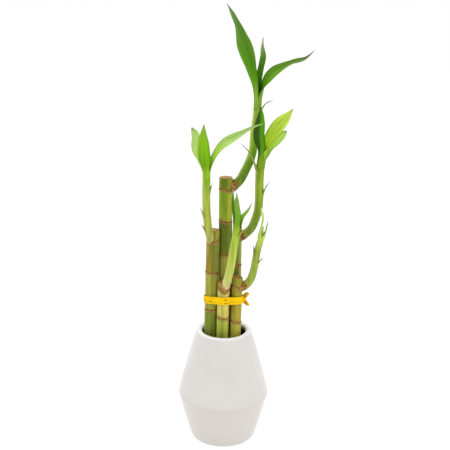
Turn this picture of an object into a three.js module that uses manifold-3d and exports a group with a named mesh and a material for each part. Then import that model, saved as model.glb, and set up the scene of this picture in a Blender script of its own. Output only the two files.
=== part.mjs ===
// Lucky bamboo: five cut canes, each with one leafy shoot, tied with a ribbon and standing in a vase.
// Millimetres, +Z up. The origin is the middle of the vase's foot, and the front of the bunch faces -Y.
import * as THREE from 'three';
import { mergeVertices } from 'three/addons/utils/BufferGeometryUtils.js';
import Module from 'manifold-3d';

const wasm = await Module();
wasm.setup();

// ---- driving dimensions ----

const gap = 0.3; // left between pieces that touch

const vase = {
  height: 100,
  foot: 28.7, // this and the next three are radii
  belly: 40,
  mouth: 24.6,
  opening: 18.8,
  bellyHeight: 41.2,
  bellyRound: 3.4, // half the height of the soft edge round the belly
  footRound: 1.2,
  lip: 3, // height of the rounded lip
  wall: 4,
  floor: 6,
  bulge: 0.9, // how far the walls bow outwards between foot, belly and mouth
};

const waterLevel = 62;

// Each cane stands on the vase's floor at foot and leans to head, its cut top. Joints are heights above
// the foot, the last one carrying the shoot.
const canes = {
  tall: {
    foot: [0.3, 5.5],
    head: [0.4, 5.5, 234],
    radius: 5.5,
    joints: [20, 47, 74, 101, 131, 160, 190, 217],
  },
  left: {
    foot: [-13.6, -1.3],
    head: [-9.9, -0.8, 190],
    radius: 5.4,
    joints: [22, 51, 81, 112, 146, 172],
  },
  front: {
    foot: [-3, -6.4],
    head: [-0.4, -6.4, 145.5],
    radius: 5.2,
    joints: [21, 49, 78, 107, 132],
  },
  right: {
    foot: [8, -4],
    head: [11, -4, 149],
    radius: 4.8,
    joints: [17, 44, 73, 102, 135],
  },
  back: {
    foot: [10.8, 6.6],
    head: [10.6, 6.6, 191],
    radius: 3.9,
    joints: [10, 34, 58, 82, 106, 129, 151, 176],
  },
};
const joint = { rise: 0.4, above: 1.2, below: 2 }; // a joint's ridge, and how far it fades up and down

// The swollen cup on a cane from which its shoot grows: how far its rim stands proud of the shoot, and
// how much slimmer the shoot is inside it.
const cup = { rim: 0.8, neck: 0.9 };

// A shoot's stem runs through its points, with its radius at the root and at the tip. Its cane's cup
// reaches up one share of it, and its leaves clasp it from another, leafy, with sheaths that long.
// Bracts are the small scales on it: how far up the stem, which way they point round it (0 is +X, a
// quarter turn is the front), length and lean in radians.
const shoots = {
  tall: {
    points: [
      [5, 5.6, 225], [11.4, 6.2, 230.5], [16.4, 7, 239.5], [20.4, 8, 248.5], [22.6, 8.5, 257],
      [23.2, 8, 270], [25, 7.5, 286], [25.6, 7, 301],
    ],
    root: 3.9,
    tip: 3,
    cup: 0.08,
    leafy: 0.88,
    sheath: 8,
    bracts: [{ at: 0.84, turn: 0.2, length: 16, lean: 0.8 }],
  },
  left: {
    points: [
      [-11.6, -2.5, 180.5], [-12.3, -6, 184.5], [-13.6, -8, 191], [-15.2, -7.4, 206],
      [-15.7, -6.4, 220], [-15.6, -5.4, 234], [-15.7, -5, 242],
    ],
    root: 3.3,
    tip: 3.3,
    cup: 0.1,
    leafy: 0.9,
    sheath: 6,
    bracts: [
      { at: 0.16, turn: 3.1, length: 10, lean: 0.2 },
      { at: 0.34, turn: 3, length: 13, lean: 0.2 },
      { at: 0.66, turn: 0.2, length: 12, lean: 0.24 },
    ],
  },
  front: {
    points: [
      [0.4, -6.8, 140.5], [1.4, -10, 144.8], [2.8, -11.7, 150.5], [4.4, -12, 157], [6, -12, 167],
      [7.3, -12, 177], [8.8, -11.8, 186], [10.2, -11.4, 199],
    ],
    root: 3.5,
    tip: 3.1,
    cup: 0.1,
    leafy: 0.86,
    sheath: 5,
    bracts: [{ at: 0.79, turn: 0.3, length: 12, lean: 0.45 }],
  },
  right: {
    points: [
      [13.4, -4, 140], [18.8, -4.5, 142.6], [22.6, -5, 148.4], [25, -5.4, 157], [26.3, -6, 166],
      [27.9, -6, 175], [30.2, -6, 184], [32, -6, 195],
    ],
    root: 3.6,
    tip: 2.4,
    cup: 0.11,
    leafy: 0.84,
    sheath: 3.5,
    bracts: [
      { at: 0.5, turn: 2.9, length: 15, lean: 0.12 },
      { at: 0.44, turn: 0.3, length: 9, lean: 0.55 },
    ],
  },
  back: {
    points: [
      [11.9, 6.3, 181.5], [17, 5.2, 184.6], [22.4, 4, 190.5], [25.4, 3, 198], [27.6, 2.4, 207],
      [28.3, 2, 218], [28.1, 1.2, 231], [28.5, 0.4, 243], [29.6, 0, 252],
    ],
    root: 3.5,
    tip: 3.5,
    cup: 0.09,
    leafy: 0.9,
    sheath: 6,
    bracts: [
      { at: 0.57, turn: 0.2, length: 15, lean: 0.42 },
      { at: 0.84, turn: 3, length: 30, lean: 0.58 },
    ],
  },
};

// A leaf's sheath clasps its shoot where the shoot turns leafy, turn saying which way round it. Its
// midrib then runs through its points, and its upper side faces the directions given in turn. Widths are
// the blade's at even steps from sheath to tip, and fold is half the angle that its gutter turns through,
// in the sheath and at the tip.
const leaves = {
  tall_1: {
    shoot: 'tall', turn: 2.5,
    points: [
      [21.4, 4, 313], [17.8, 3.2, 328], [12.4, 3, 343], [8.6, 5, 355], [4.5, 7.6, 363.5],
      [-0.3, 9.6, 372.5],
    ],
    faces: [[0.5, 0.85, 0], [0.45, 0.9, 0.1], [0.4, 0.9, 0.3], [0.6, 0.7, 0.4], [0.7, 0.5, 0.4]],
    widths: [6.6, 7, 8, 8.6, 10, 13, 13.6, 9.8, 6.4, 5.2, 0.6],
    fold: [1, 0.35],
  },
  tall_2: {
    shoot: 'tall', turn: 0.3,
    points: [
      [30.8, 5.6, 309.5], [35.4, 3.4, 317.4], [41, 0.4, 322.2], [51, -3.2, 328.2],
      [61.6, -5.6, 331.7], [68.4, -7, 338],
    ],
    faces: [
      [-0.8, -0.6, 0.2], [-0.5, -0.7, 0.5], [-0.4, -0.75, 0.6], [-0.4, -0.7, 0.6],
      [-0.6, -0.5, 0.6],
    ],
    widths: [7, 7, 7.2, 8.6, 10.6, 11, 7.8, 4.8, 4.6, 2.4, 0.5],
    fold: [1, 0.5],
  },
  tall_3: {
    shoot: 'tall', turn: -1.8,
    points: [[26.6, 9.6, 312], [28.8, 9.8, 322], [29.9, 9.2, 331], [28.6, 8.4, 340], [28.9, 8, 347]],
    faces: [[-0.6, -0.8, 0], [-0.8, -0.6, 0], [-0.5, -0.9, 0], [-0.5, -0.9, 0]],
    widths: [6.6, 6.6, 6.4, 6.8, 7.8, 8.6, 8.6, 7.6, 5.2, 2.4, 0.5],
    fold: [1, 1],
  },
  left_1: {
    shoot: 'left', turn: 1.6,
    points: [[-16.9, -9.2, 249], [-17.9, -9, 261], [-18.1, -8, 271], [-17.7, -7, 279.5]],
    faces: [[0, 1, 0], [0, 1, 0.1], [0.1, 1, 0.1]],
    widths: [7, 7, 6.8, 9, 10.4, 10.4, 10, 8.8, 6.3, 3.5, 0.6],
    fold: [1, 0.4],
  },
  left_2: {
    shoot: 'left', turn: 3.7,
    points: [
      [-21.5, -1.4, 249], [-23.8, 1, 257.5], [-24.3, 3.5, 266], [-25.8, 5.5, 270.6],
      [-28.3, 7, 274.8],
    ],
    faces: [[0.7, -0.7, 0.3], [0.5, -0.7, 0.6], [0.4, -0.7, 0.5]],
    widths: [7, 7.4, 7.6, 7.6, 8.4, 12, 12.4, 10.6, 8.6, 6.4, 1.6],
    fold: [1, 0.3],
  },
  left_3: {
    shoot: 'left', turn: -0.5,
    points: [
      [-9.9, -5.8, 250.6], [-3.4, -8.2, 262], [8.6, -10.6, 270.8], [18.5, -11.6, 276.7],
      [25.3, -12, 279.7], [31.7, -12, 281.5],
    ],
    faces: [[-0.7, -0.6, 0.3], [-0.4, -0.85, 0.4], [-0.3, -0.9, 0.4], [-0.3, -0.8, 0.5]],
    widths: [7, 7.4, 7.6, 7.6, 8.6, 9, 7.8, 5, 2.8, 1.6, 0.5],
    fold: [1, 0.4],
  },
  front_1: {
    shoot: 'front', turn: 3.6,
    points: [[7, -9.4, 205], [5.9, -8, 214], [6.6, -6.6, 225.5]],
    faces: [[0.8, -0.5, 0], [0.7, -0.6, 0.2]],
    widths: [6.6, 6.6, 6.2, 5.6, 5.6, 5.6, 5.4, 4.6, 3.4, 1.8, 0.5],
    fold: [1, 0.6],
  },
  front_2: {
    shoot: 'front', turn: 1.5,
    points: [[10.4, -13.8, 205], [9.4, -13.2, 214], [9.4, -12.2, 225]],
    faces: [[0.2, 1, 0], [0.1, 1, 0]],
    widths: [6.6, 6.6, 6.4, 6, 6, 6, 5.8, 5.2, 4.4, 1.8, 0.5],
    fold: [1, 0.8],
  },
  front_3: {
    shoot: 'front', turn: -0.6,
    points: [[14.6, -13, 203.5], [18.8, -15.2, 210.4], [22, -16.6, 217.8]],
    faces: [[-0.7, -0.3, 0.6], [-0.6, -0.4, 0.7]],
    widths: [6.6, 7, 7.4, 7.4, 7, 6.4, 5.6, 4.6, 3.4, 1.8, 0.5],
    fold: [1, 0.6],
  },
  right_1: {
    shoot: 'right', turn: 3.2,
    points: [[31, -5.6, 199.5], [29.4, -5, 211.8]],
    faces: [[0.8, -0.5, 0], [0.7, -0.6, 0]],
    widths: [5.6, 5.6, 5.4, 5, 5, 4.8, 4.4, 4, 3.2, 2, 0.5],
    fold: [1.4, 0.8],
  },
  right_2: {
    shoot: 'right', turn: 0.1,
    points: [[34.8, -7, 193.6], [35.6, -8.2, 200.4]],
    faces: [[-0.8, 0.4, 0.2], [-0.8, 0.4, 0.2]],
    widths: [5.6, 5.6, 5.4, 5.2, 4.6, 3.6, 2.8, 2.2, 1.8, 1.2, 0.5],
    fold: [1.4, 0.8],
  },
  back_1: {
    shoot: 'back', turn: 2.2,
    points: [[28.2, -3.2, 260], [27.2, -2.6, 270], [27.6, -1.6, 281], [28.2, -0.6, 292.5]],
    faces: [[-0.1, 1, 0], [0, 1, 0], [0.2, 1, 0.1]],
    widths: [7.5, 7.5, 7.3, 8, 9.5, 10.5, 10.5, 9.5, 7.5, 5, 0.8],
    fold: [1, 0.9],
  },
  back_2: {
    shoot: 'back', turn: 0.4,
    points: [[34.4, -2, 263.5], [40.1, -4.6, 275], [46.9, -7, 283.6], [53.2, -8.4, 292.6]],
    faces: [[-0.7, -0.6, 0.2], [-0.6, -0.7, 0.4], [-0.5, -0.8, 0.5], [-0.5, -0.8, 0.4]],
    widths: [7.5, 7.5, 7.5, 9, 12, 13.5, 14, 13.6, 11.2, 6, 0.6],
    fold: [1, 0.35],
  },
  back_3: {
    shoot: 'back', turn: -1.6,
    points: [[34.6, 5.8, 257.5], [40.4, 7.4, 264], [45.8, 9, 268.8], [50.2, 10, 272.2]],
    faces: [[-0.6, -0.7, 0.5], [-0.4, -0.7, 0.6], [-0.4, -0.7, 0.6]],
    widths: [7.5, 7.8, 8, 8.2, 8.8, 10.4, 12, 12.6, 11.6, 8.8, 1.6],
    fold: [1, 0.35],
  },
};
const blade = {
  rib: 0.9, // thickness at the midrib
  edge: 0.6, // and at the edges
  tip: 0.5, // width of the tip
  bract: [1.2, 1.7, 1.7, 1.55, 1.35, 1.15, 0.95, 0.75, 0.5, 0.25, 0.1], // widths, for a stem of radius 1
};

const tie = {
  height: 127.6, // of its middle, on the vase's axis
  tilt: 0.2, // drop for each millimetre towards the back
  width: 7.4,
  thickness: 0.8,
  knot: [17, -4.4, 129.2],
  knotRadius: 2,
  tails: [
    [[17.2, -4.8, 130.4], [18.7, -5.2, 133.6], [21.4, -5.4, 134.6]],
    [[17.2, -4.8, 128.4], [18.8, -5.6, 125.6], [21.2, -6, 123.8]],
  ],
  tailWidths: [3.2, 3.6, 4, 4.3, 4.4, 4.3, 4.1, 3.9, 3.6, 3.2, 2.2],
};

// ---- materials ----

const finish = (color, roughness) => new THREE.MeshStandardMaterial({ color, roughness, metalness: 0 });
const materials = {
  vase: finish('#e9e6e1', 0.22),
  water: finish('#9fb3a6', 0.05),
  cane: finish('#7f8f2f', 0.4),
  shoot: finish('#9db040', 0.42),
  leaf: finish('#6da41f', 0.45),
  tie: finish('#f2c80c', 0.3),
};

// ---- solids ----

const vector = (point) => new THREE.Vector3(...point);
const smoothstep = (from, to, value) => THREE.MathUtils.smoothstep(value, from, to);

// Turns a closed geometry into a solid whose faces point outwards.
function solidOf(geometry) {
  const bare = geometry.clone();
  bare.deleteAttribute('normal');
  bare.deleteAttribute('uv');
  const merged = mergeVertices(bare, 1e-4);
  const corners = merged.index.array;
  const triangles = [];
  for (let i = 0; i < corners.length; i += 3) {
    const [a, b, c] = corners.slice(i, i + 3);
    if (a !== b && b !== c && c !== a) triangles.push(a, b, c);
  }
  const build = (list) => new wasm.Manifold(new wasm.Mesh({
    numProp: 3,
    vertProperties: new Float32Array(merged.attributes.position.array),
    triVerts: new Uint32Array(list),
  }));
  const solid = build(triangles);
  return solid.volume() > 0 ? solid : build(triangles.reverse());
}

// The largest body of a solid, without the scraps that a cut can leave.
function mainBody(solid) {
  return solid.decompose().sort((a, b) => b.volume() - a.volume())[0];
}

function geometryOf(solid) {
  const mesh = solid.getMesh();
  const geometry = new THREE.BufferGeometry();
  geometry.setAttribute('position', new THREE.BufferAttribute(mesh.vertProperties, 3));
  geometry.setIndex(new THREE.BufferAttribute(mesh.triVerts, 1));
  const faceted = geometry.toNonIndexed();
  faceted.computeVertexNormals();
  return faceted;
}

// Closes a stack of rings, each a list of as many points, into one skin with flat ends.
function skin(rings) {
  const count = rings[0].length;
  const index = [];
  for (let i = 0; i + 1 < rings.length; i += 1) {
    for (let j = 0; j < count; j += 1) {
      const next = (j + 1) % count;
      const [a, b, c, d] = [i * count + j, i * count + next, (i + 1) * count + next, (i + 1) * count + j];
      index.push(a, b, c, a, c, d);
    }
  }
  const last = (rings.length - 1) * count;
  for (let j = 1; j + 1 < count; j += 1) {
    index.push(0, j + 1, j);
    index.push(last, last + j, last + j + 1);
  }
  const geometry = new THREE.BufferGeometry().setFromPoints(rings.flat());
  geometry.setIndex(index);
  return geometry;
}

// ---- vase and water ----

// Half of the vase's section: out along the foot, up the outside, over the lip and down the inside.
function vaseProfile() {
  const { height, foot, belly, mouth, opening, bellyHeight, bellyRound } = vase;
  const { footRound, lip, wall, floor, bulge } = vase;
  const ridge = belly - 0.27 * bellyRound; // where the belly's soft edge meets the walls
  const inside = belly - wall;
  const shoulder = height - lip; // where the lip's rounding begins
  const outline = new THREE.Path();
  outline.moveTo(0, 0);
  outline.lineTo(foot - footRound, 0);
  outline.quadraticCurveTo(foot, 0, foot + 0.3 * footRound, footRound);
  outline.quadraticCurveTo((foot + ridge) / 2 + bulge, bellyHeight / 2, ridge, bellyHeight - bellyRound);
  outline.quadraticCurveTo(belly + 0.2, bellyHeight, ridge, bellyHeight + bellyRound);
  outline.quadraticCurveTo((belly + mouth) / 2 + bulge, (bellyHeight + height) / 2, mouth, shoulder);
  outline.quadraticCurveTo(mouth - 0.4, height, (mouth + opening) / 2, height);
  outline.quadraticCurveTo(opening, height, opening, shoulder);
  outline.lineTo(inside, bellyHeight + bellyRound);
  outline.quadraticCurveTo(inside + 0.6, bellyHeight, inside, bellyHeight - bellyRound);
  outline.lineTo(foot - wall, floor);
  outline.lineTo(0, floor);
  return outline.getPoints(3);
}

const uprightLathe = (points, sides) => new THREE.LatheGeometry(points, sides).rotateX(Math.PI / 2);

// The water fills the vase to its level and has a hole round each cane.
function waterSolid() {
  const { floor, foot, belly, opening, wall, bellyHeight, bellyRound, height, lip } = vase;
  const clear = 2 * gap; // the gap, and what a faceted wall cuts off its circle
  const wide = belly - wall - clear;
  const bottom = floor + gap;
  const [from, to] = [bellyHeight + bellyRound, height - lip]; // the stretch of wall above the belly
  const narrow = THREE.MathUtils.mapLinear(waterLevel, from, to, wide, opening - clear);
  const outline = [
    [0, bottom],
    [foot - wall - clear, bottom],
    [wide, bellyHeight - bellyRound],
    [wide, from],
    [narrow, waterLevel],
    [0, waterLevel],
  ];
  const holes = Object.values(canes).map((cane) => {
    const smooth = { ...cane, joints: [] };
    return solidOf(stalk(smooth, joint.rise + gap, clear));
  });
  const body = uprightLathe(outline.map(([r, z]) => new THREE.Vector2(r, z)), 36);
  return mainBody(solidOf(body).subtract(wasm.Manifold.union(holes)));
}

// ---- canes ----

// A cut cane with a ridge at each joint, grown sideways and upwards by extra and downwards by sink.
function stalk({ foot, head, radius, joints }, extra = 0, sink = 0) {
  const sides = 12;
  const start = vector([...foot, vase.floor + gap]);
  const rise = vector(head).sub(start);
  const length = rise.length();
  const outline = [[0, -sink], [radius - 0.3, -sink]];
  for (const height of joints) {
    outline.push([radius, height - joint.below]);
    outline.push([radius + joint.rise, height]);
    outline.push([radius, height + joint.above]);
  }
  const top = length + extra;
  outline.push([radius, top - 0.5], [radius - 0.4, top], [0, top]);
  const points = outline.map(([r, z]) => new THREE.Vector2(r > 0 ? r + extra : 0, z));
  const lean = new THREE.Quaternion().setFromUnitVectors(new THREE.Vector3(0, 0, 1), rise.normalize());
  return uprightLathe(points, sides).applyQuaternion(lean).translate(...start);
}

// The swollen cup on a cane's last joint, from which its shoot grows.
function collar(name) {
  const { root, cup: reach } = shoots[name];
  const path = stemPath(name);
  const rings = [0, 0.4, 0.8, 1].map((t) => ring(path, t * reach, root + cup.rim * (1.5 - t), 12));
  return solidOf(skin(rings)).subtract(stemSolid(name, gap));
}

// ---- shoots ----

// A ring of points round a path, square to it.
function ring(path, t, radius, sides) {
  const centre = path.getPointAt(t);
  const along = path.getTangentAt(t);
  const side = new THREE.Vector3().crossVectors(along, new THREE.Vector3(0, 1, 0)).normalize();
  const front = new THREE.Vector3().crossVectors(side, along);
  return Array.from({ length: sides }, (_, i) => {
    const angle = (2 * Math.PI * i) / sides;
    return centre.clone()
      .addScaledVector(side, radius * Math.cos(angle))
      .addScaledVector(front, radius * Math.sin(angle));
  });
}

const stemPath = (name) => new THREE.CatmullRomCurve3(shoots[name].points.map(vector));

// A stem's radius: slimmer in its cup and, by a leaf and its gap, inside the leaves' sheaths.
function stemRadius(name, t) {
  const { root, tip, cup: reach, leafy } = shoots[name];
  const neck = cup.neck * (1 - smoothstep(reach * 0.8, reach * 1.5, t));
  const girth = THREE.MathUtils.lerp(root, tip, t) - neck;
  return t < leafy ? girth : (girth - blade.rib - gap) * (1 - 0.6 * smoothstep(leafy, 1, t));
}

function stemSolid(name, extra = 0) {
  const path = stemPath(name);
  const { leafy } = shoots[name];
  const steps = 18;
  const sides = 10;
  const step = 0.001; // share of the stem over which it slims for the sheaths
  const rings = [];
  for (let i = 0; i <= steps; i += 1) {
    const t = (i / steps) * leafy;
    rings.push(ring(path, t, stemRadius(name, Math.min(t, leafy - step)) + extra, sides));
  }
  for (const t of [leafy + step, (leafy + 1) / 2, 1]) {
    rings.push(ring(path, t, stemRadius(name, t) + extra, sides));
  }
  const back = path.getTangentAt(0).multiplyScalar(-extra);
  for (const corner of rings[0]) corner.add(back);
  return solidOf(skin(rings));
}

// The direction square to a stem that points a given way round it.
function outward(along, turn) {
  return new THREE.Vector3(Math.cos(turn), -Math.sin(turn), 0).projectOnPlane(along).normalize();
}

// A bract: a narrow scale that stands off the stem, its root sunk into it.
function bract(name, { at, turn, length, lean }) {
  const path = stemPath(name);
  const along = path.getTangentAt(at);
  const out = outward(along, turn);
  const radius = stemRadius(name, at);
  const sunk = 0.7;
  const start = path.getPointAt(at).addScaledVector(out, radius - sunk);
  const reach = (up, off) => start.clone()
    .addScaledVector(along, length * up)
    .addScaledVector(out, length * off);
  const middle = reach(0.5, 0.35 * lean);
  const end = reach(Math.cos(lean), Math.sin(lean));
  const inward = out.clone().negate();
  const shape = { widths: blade.bract.map((width) => radius * width), fold: [0.9, 0.5], clasp: radius };
  return solidOf(bladeSkin([start, middle, end], [inward, inward], shape, 5, 2));
}

// ---- leaves ----

// A smooth line through values spaced evenly from 0 to 1.
function valueAt(values, t) {
  const last = values.length - 1;
  const place = Math.min(Math.floor(t * last), last - 1);
  const u = t * last - place;
  const [a, b, c, d] = [-1, 0, 1, 2].map((k) => values[THREE.MathUtils.clamp(place + k, 0, last)]);
  return b + 0.5 * u * (c - a + u * (2 * a - 5 * b + 4 * c - d + u * (3 * (b - c) + d - a)));
}

// Half the blade's width at t, from the sheath that clasps the stem to a drawn-out tip.
function halfWidth(t, { widths, fold, clasp }) {
  const free = valueAt(widths, t) / 2;
  const half = THREE.MathUtils.lerp(clasp * fold[0], free, smoothstep(0.04, 0.28, t));
  return Math.max(half, blade.tip / 2);
}

// A thin blade along a midrib, folded like a gutter whose open side is the upper face. Both faces are
// split into triangles alike.
function bladeSkin(points, faces, shape, steps, strips, extra = 0) {
  const path = new THREE.CatmullRomCurve3(points);
  const facing = new THREE.CatmullRomCurve3(faces);
  const [foldRoot, foldTip] = shape.fold;
  const rings = [];
  for (let i = 0; i <= steps; i += 1) {
    const t = i / steps;
    const centre = path.getPointAt(t);
    const along = path.getTangentAt(t);
    const up = facing.getPoint(t).projectOnPlane(along).normalize();
    const side = new THREE.Vector3().crossVectors(along, up);
    const half = halfWidth(t, shape) + extra;
    const fold = THREE.MathUtils.lerp(foldRoot, foldTip, smoothstep(0.05, 0.5, t));
    const upper = [];
    const lower = [];
    for (let j = 0; j <= strips; j += 1) {
      const s = (2 * j) / strips - 1;
      const bend = fold * s;
      const radius = half / fold;
      const middle = centre.clone()
        .addScaledVector(side, radius * Math.sin(bend))
        .addScaledVector(up, radius * (1 - Math.cos(bend)));
      const normal = up.clone().multiplyScalar(Math.cos(bend)).addScaledVector(side, -Math.sin(bend));
      const depth = THREE.MathUtils.lerp(blade.rib, blade.edge, Math.abs(s)) / 2 + extra;
      upper.push(middle.clone().addScaledVector(normal, depth));
      lower.push(middle.clone().addScaledVector(normal, -depth));
    }
    rings.push([...upper, ...lower.reverse()]);
  }
  return bladeShell(rings, strips);
}

// Joins the blade's sections. Each section's first half is its upper face, the rest its lower face.
function bladeShell(rings, strips) {
  const count = 2 * (strips + 1);
  const index = [];
  for (let i = 0; i + 1 < rings.length; i += 1) {
    for (let j = 0; j < count; j += 1) {
      const next = (j + 1) % count;
      const [a, b, c, d] = [i * count + j, i * count + next, (i + 1) * count + next, (i + 1) * count + j];
      if (j <= strips) index.push(a, b, c, a, c, d);
      else index.push(a, b, d, b, c, d);
    }
  }
  const last = (rings.length - 1) * count;
  for (let j = 0; j < strips; j += 1) {
    const [a, b, c, d] = [j, j + 1, count - 2 - j, count - 1 - j];
    index.push(a, c, b, a, d, c);
    index.push(last + a, last + b, last + c, last + a, last + c, last + d);
  }
  const geometry = new THREE.BufferGeometry().setFromPoints(rings.flat());
  geometry.setIndex(index);
  return geometry;
}

// A leaf from the sheath that clasps its stem to its tip.
function leafSolid(leaf, extra = 0) {
  const path = stemPath(leaf.shoot);
  const { leafy, sheath: sheathLength } = shoots[leaf.shoot];
  const start = leafy + (0.5 * gap) / path.getLength();
  const clasp = stemRadius(leaf.shoot, leafy) + gap + blade.rib / 2;
  const sheath = [start, Math.min(start + sheathLength / path.getLength(), 1)].map((t) => {
    const out = outward(path.getTangentAt(t), leaf.turn);
    return path.getPointAt(t).addScaledVector(out, clasp);
  });
  const inward = outward(path.getTangentAt(leafy), leaf.turn).negate();
  const points = [...sheath, ...leaf.points.map(vector)];
  const faces = [inward, inward, ...leaf.faces.map(vector)];
  const steps = Math.max(...leaf.widths) > 7 ? 14 : 9;
  return solidOf(bladeSkin(points, faces, { ...leaf, clasp }, steps, 4, extra));
}

// ---- tie ----

// The tight outline round the canes at the tie's height, standing off them by offset.
function bunchOutline(offset) {
  const directions = 44;
  return Array.from({ length: directions }, (_, i) => {
    const angle = (2 * Math.PI * i) / directions;
    const out = new THREE.Vector2(Math.cos(angle), Math.sin(angle));
    const touching = Object.values(canes).map(({ foot, head, radius }) => {
      // the cane's centre at the tie
      const share = (tie.height - vase.floor) / (head[2] - vase.floor);
      const centre = new THREE.Vector2(...foot).lerp(new THREE.Vector2(head[0], head[1]), share);
      return centre.addScaledVector(out, radius + offset);
    });
    return touching.sort((a, b) => b.dot(out) - a.dot(out))[0];
  });
}

function tieSolid() {
  const inner = bunchOutline(gap);
  const outer = bunchOutline(gap + tie.thickness);
  const height = (point, share) => tie.height - tie.tilt * point.y + tie.width * share;
  const rings = inner.map((point, i) => {
    const edge = (at, share) => new THREE.Vector3(at.x, at.y, height(at, share));
    return [edge(point, -0.5), edge(outer[i], -0.5), edge(outer[i], 0.5), edge(point, 0.5)];
  });
  const band = loopSkin(rings);
  const knot = new THREE.SphereGeometry(tie.knotRadius, 10, 8).scale(0.8, 0.9, 1.25).translate(...tie.knot);
  const back = new THREE.Vector3(0, 1, 0);
  const tails = tie.tails.map((points) => {
    const shape = { widths: tie.tailWidths, fold: [0.5, 0.5], clasp: tie.tailWidths[0] };
    return solidOf(bladeSkin(points.map(vector), [back, back], shape, 4, 2));
  });
  return wasm.Manifold.union([solidOf(band), solidOf(knot), ...tails]);
}

// Closes rings of points into a loop with no ends.
function loopSkin(rings) {
  const count = rings[0].length;
  const index = [];
  for (let i = 0; i < rings.length; i += 1) {
    const after = (i + 1) % rings.length;
    for (let j = 0; j < count; j += 1) {
      const next = (j + 1) % count;
      const [a, b, c, d] = [i * count + j, i * count + next, after * count + next, after * count + j];
      index.push(a, b, c, a, c, d);
    }
  }
  const geometry = new THREE.BufferGeometry().setFromPoints(rings.flat());
  geometry.setIndex(index);
  return geometry;
}

// ---- assembly ----

const group = new THREE.Group();

function add(name, solid, material) {
  const mesh = new THREE.Mesh(geometryOf(solid), material);
  mesh.name = name;
  group.add(mesh);
}

add('vase', solidOf(uprightLathe(vaseProfile(), 36)), materials.vase);
add('water', waterSolid(), materials.water);
add('tie', mainBody(tieSolid()), materials.tie);

for (const [name, cane] of Object.entries(canes)) {
  add(`cane_${name}`, mainBody(solidOf(stalk(cane)).add(collar(name))), materials.cane);
  const scales = shoots[name].bracts.map((one) => bract(name, one));
  const shoot = wasm.Manifold.union([stemSolid(name), ...scales]);
  add(`shoot_${name}`, mainBody(shoot.subtract(solidOf(stalk(cane, gap)))), materials.shoot);
}

const placed = [];
for (const [name, leaf] of Object.entries(leaves)) {
  const near = placed.filter((other) => other.shoot === leaf.shoot);
  const clearance = [stemSolid(leaf.shoot, gap), ...near.map((other) => leafSolid(other, gap))];
  add(`leaf_${name}`, mainBody(leafSolid(leaf).subtract(wasm.Manifold.union(clearance))), materials.leaf);
  placed.push(leaf);
}

export default group;
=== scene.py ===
import math
import random

import bpy
import numpy as np
from mathutils import Matrix, Vector, noise


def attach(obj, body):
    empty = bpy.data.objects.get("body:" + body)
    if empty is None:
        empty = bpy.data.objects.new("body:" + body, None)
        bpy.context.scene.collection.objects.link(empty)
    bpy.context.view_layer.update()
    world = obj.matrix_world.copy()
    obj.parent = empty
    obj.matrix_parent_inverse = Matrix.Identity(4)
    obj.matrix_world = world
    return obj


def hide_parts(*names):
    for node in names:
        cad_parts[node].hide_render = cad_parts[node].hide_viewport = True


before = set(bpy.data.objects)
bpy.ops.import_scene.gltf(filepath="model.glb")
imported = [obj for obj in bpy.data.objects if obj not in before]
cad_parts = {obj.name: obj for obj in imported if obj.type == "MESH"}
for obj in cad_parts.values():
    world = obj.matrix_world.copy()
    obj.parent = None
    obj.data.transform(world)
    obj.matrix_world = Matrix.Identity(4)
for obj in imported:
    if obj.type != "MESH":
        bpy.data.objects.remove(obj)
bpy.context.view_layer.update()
scene = bpy.context.scene
mm = 0.001
gap = 0.3  # mm, between pieces that touch


def linearColour(hexColour):
    channels = [int(hexColour[i:i + 2], 16) / 255 for i in (1, 3, 5)]
    linear = [c / 12.92 if c <= 0.04045 else ((c + 0.055) / 1.055) ** 2.4 for c in channels]
    return [*linear, 1.0]


# A node with its settings, a shader node unless its kind names another. An input takes a value, a hex
# colour, an output or a node, whose first output in use is linked. A ramp takes its stops.
def addNode(tree, kind, inputs=None, stops=(), **settings):
    node = tree.nodes.new(kind if "Node" in kind else "ShaderNode" + kind)
    if kind == "Mix":
        node.data_type = "RGBA"
    for key, value in settings.items():
        setattr(node, key, value)
    for key, value in (inputs or {}).items():
        if isinstance(value, bpy.types.Node):
            value = next(output for output in value.outputs if output.enabled)
        if isinstance(value, bpy.types.NodeSocket):
            tree.links.new(value, node.inputs[key])
        else:
            isHex = isinstance(value, str) and value.startswith("#")
            node.inputs[key].default_value = linearColour(value) if isHex else value
    for index, (place, colour) in enumerate(stops):
        elements = node.color_ramp.elements
        element = elements[index] if index < 2 else elements.new(place)
        element.position = place
        element.color = linearColour(colour)
    return node


def newMaterial(name):
    material = bpy.data.materials.new(name)
    material.use_nodes = True
    material.node_tree.nodes.clear()
    return material, material.node_tree


# Closes a material with its colour, its relief (a pattern, its strength and its depth in mm) and its gloss.
# A leaf also has the share of light that comes through.
def finishMaterial(tree, colour, relief, gloss, thin=None):
    pattern, strength, depth = relief
    bump = addNode(tree, "Bump", {"Height": pattern, "Strength": strength, "Distance": depth * mm})
    surface = addNode(tree, "BsdfPrincipled", {"Base Color": colour, "Normal": bump, **gloss})
    if thin:
        through = addNode(tree, "BsdfTranslucent", {"Color": colour, "Normal": bump})
        surface = addNode(tree, "MixShader", {"Fac": thin, 1: surface, 2: through})
    addNode(tree, "OutputMaterial", {"Surface": surface})


def addPiece(name, mesh, material):
    mesh.materials.clear()
    mesh.materials.append(material)
    piece = bpy.data.objects.new(name, mesh)
    scene.collection.objects.link(piece)
    return piece


def joinPieces(pieces):
    with bpy.context.temp_override(active_object=pieces[0], selected_editable_objects=pieces):
        bpy.ops.object.join()
    return pieces[0]


# colours along a piece, spread evenly from its start to its end
def blendOf(colours, shares):
    stops = np.array([linearColour(colour)[:3] for colour in colours])
    places = np.linspace(0, 1, len(stops))
    return np.stack([np.interp(shares, places, stops[:, k]) for k in range(3)], axis=-1)


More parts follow.
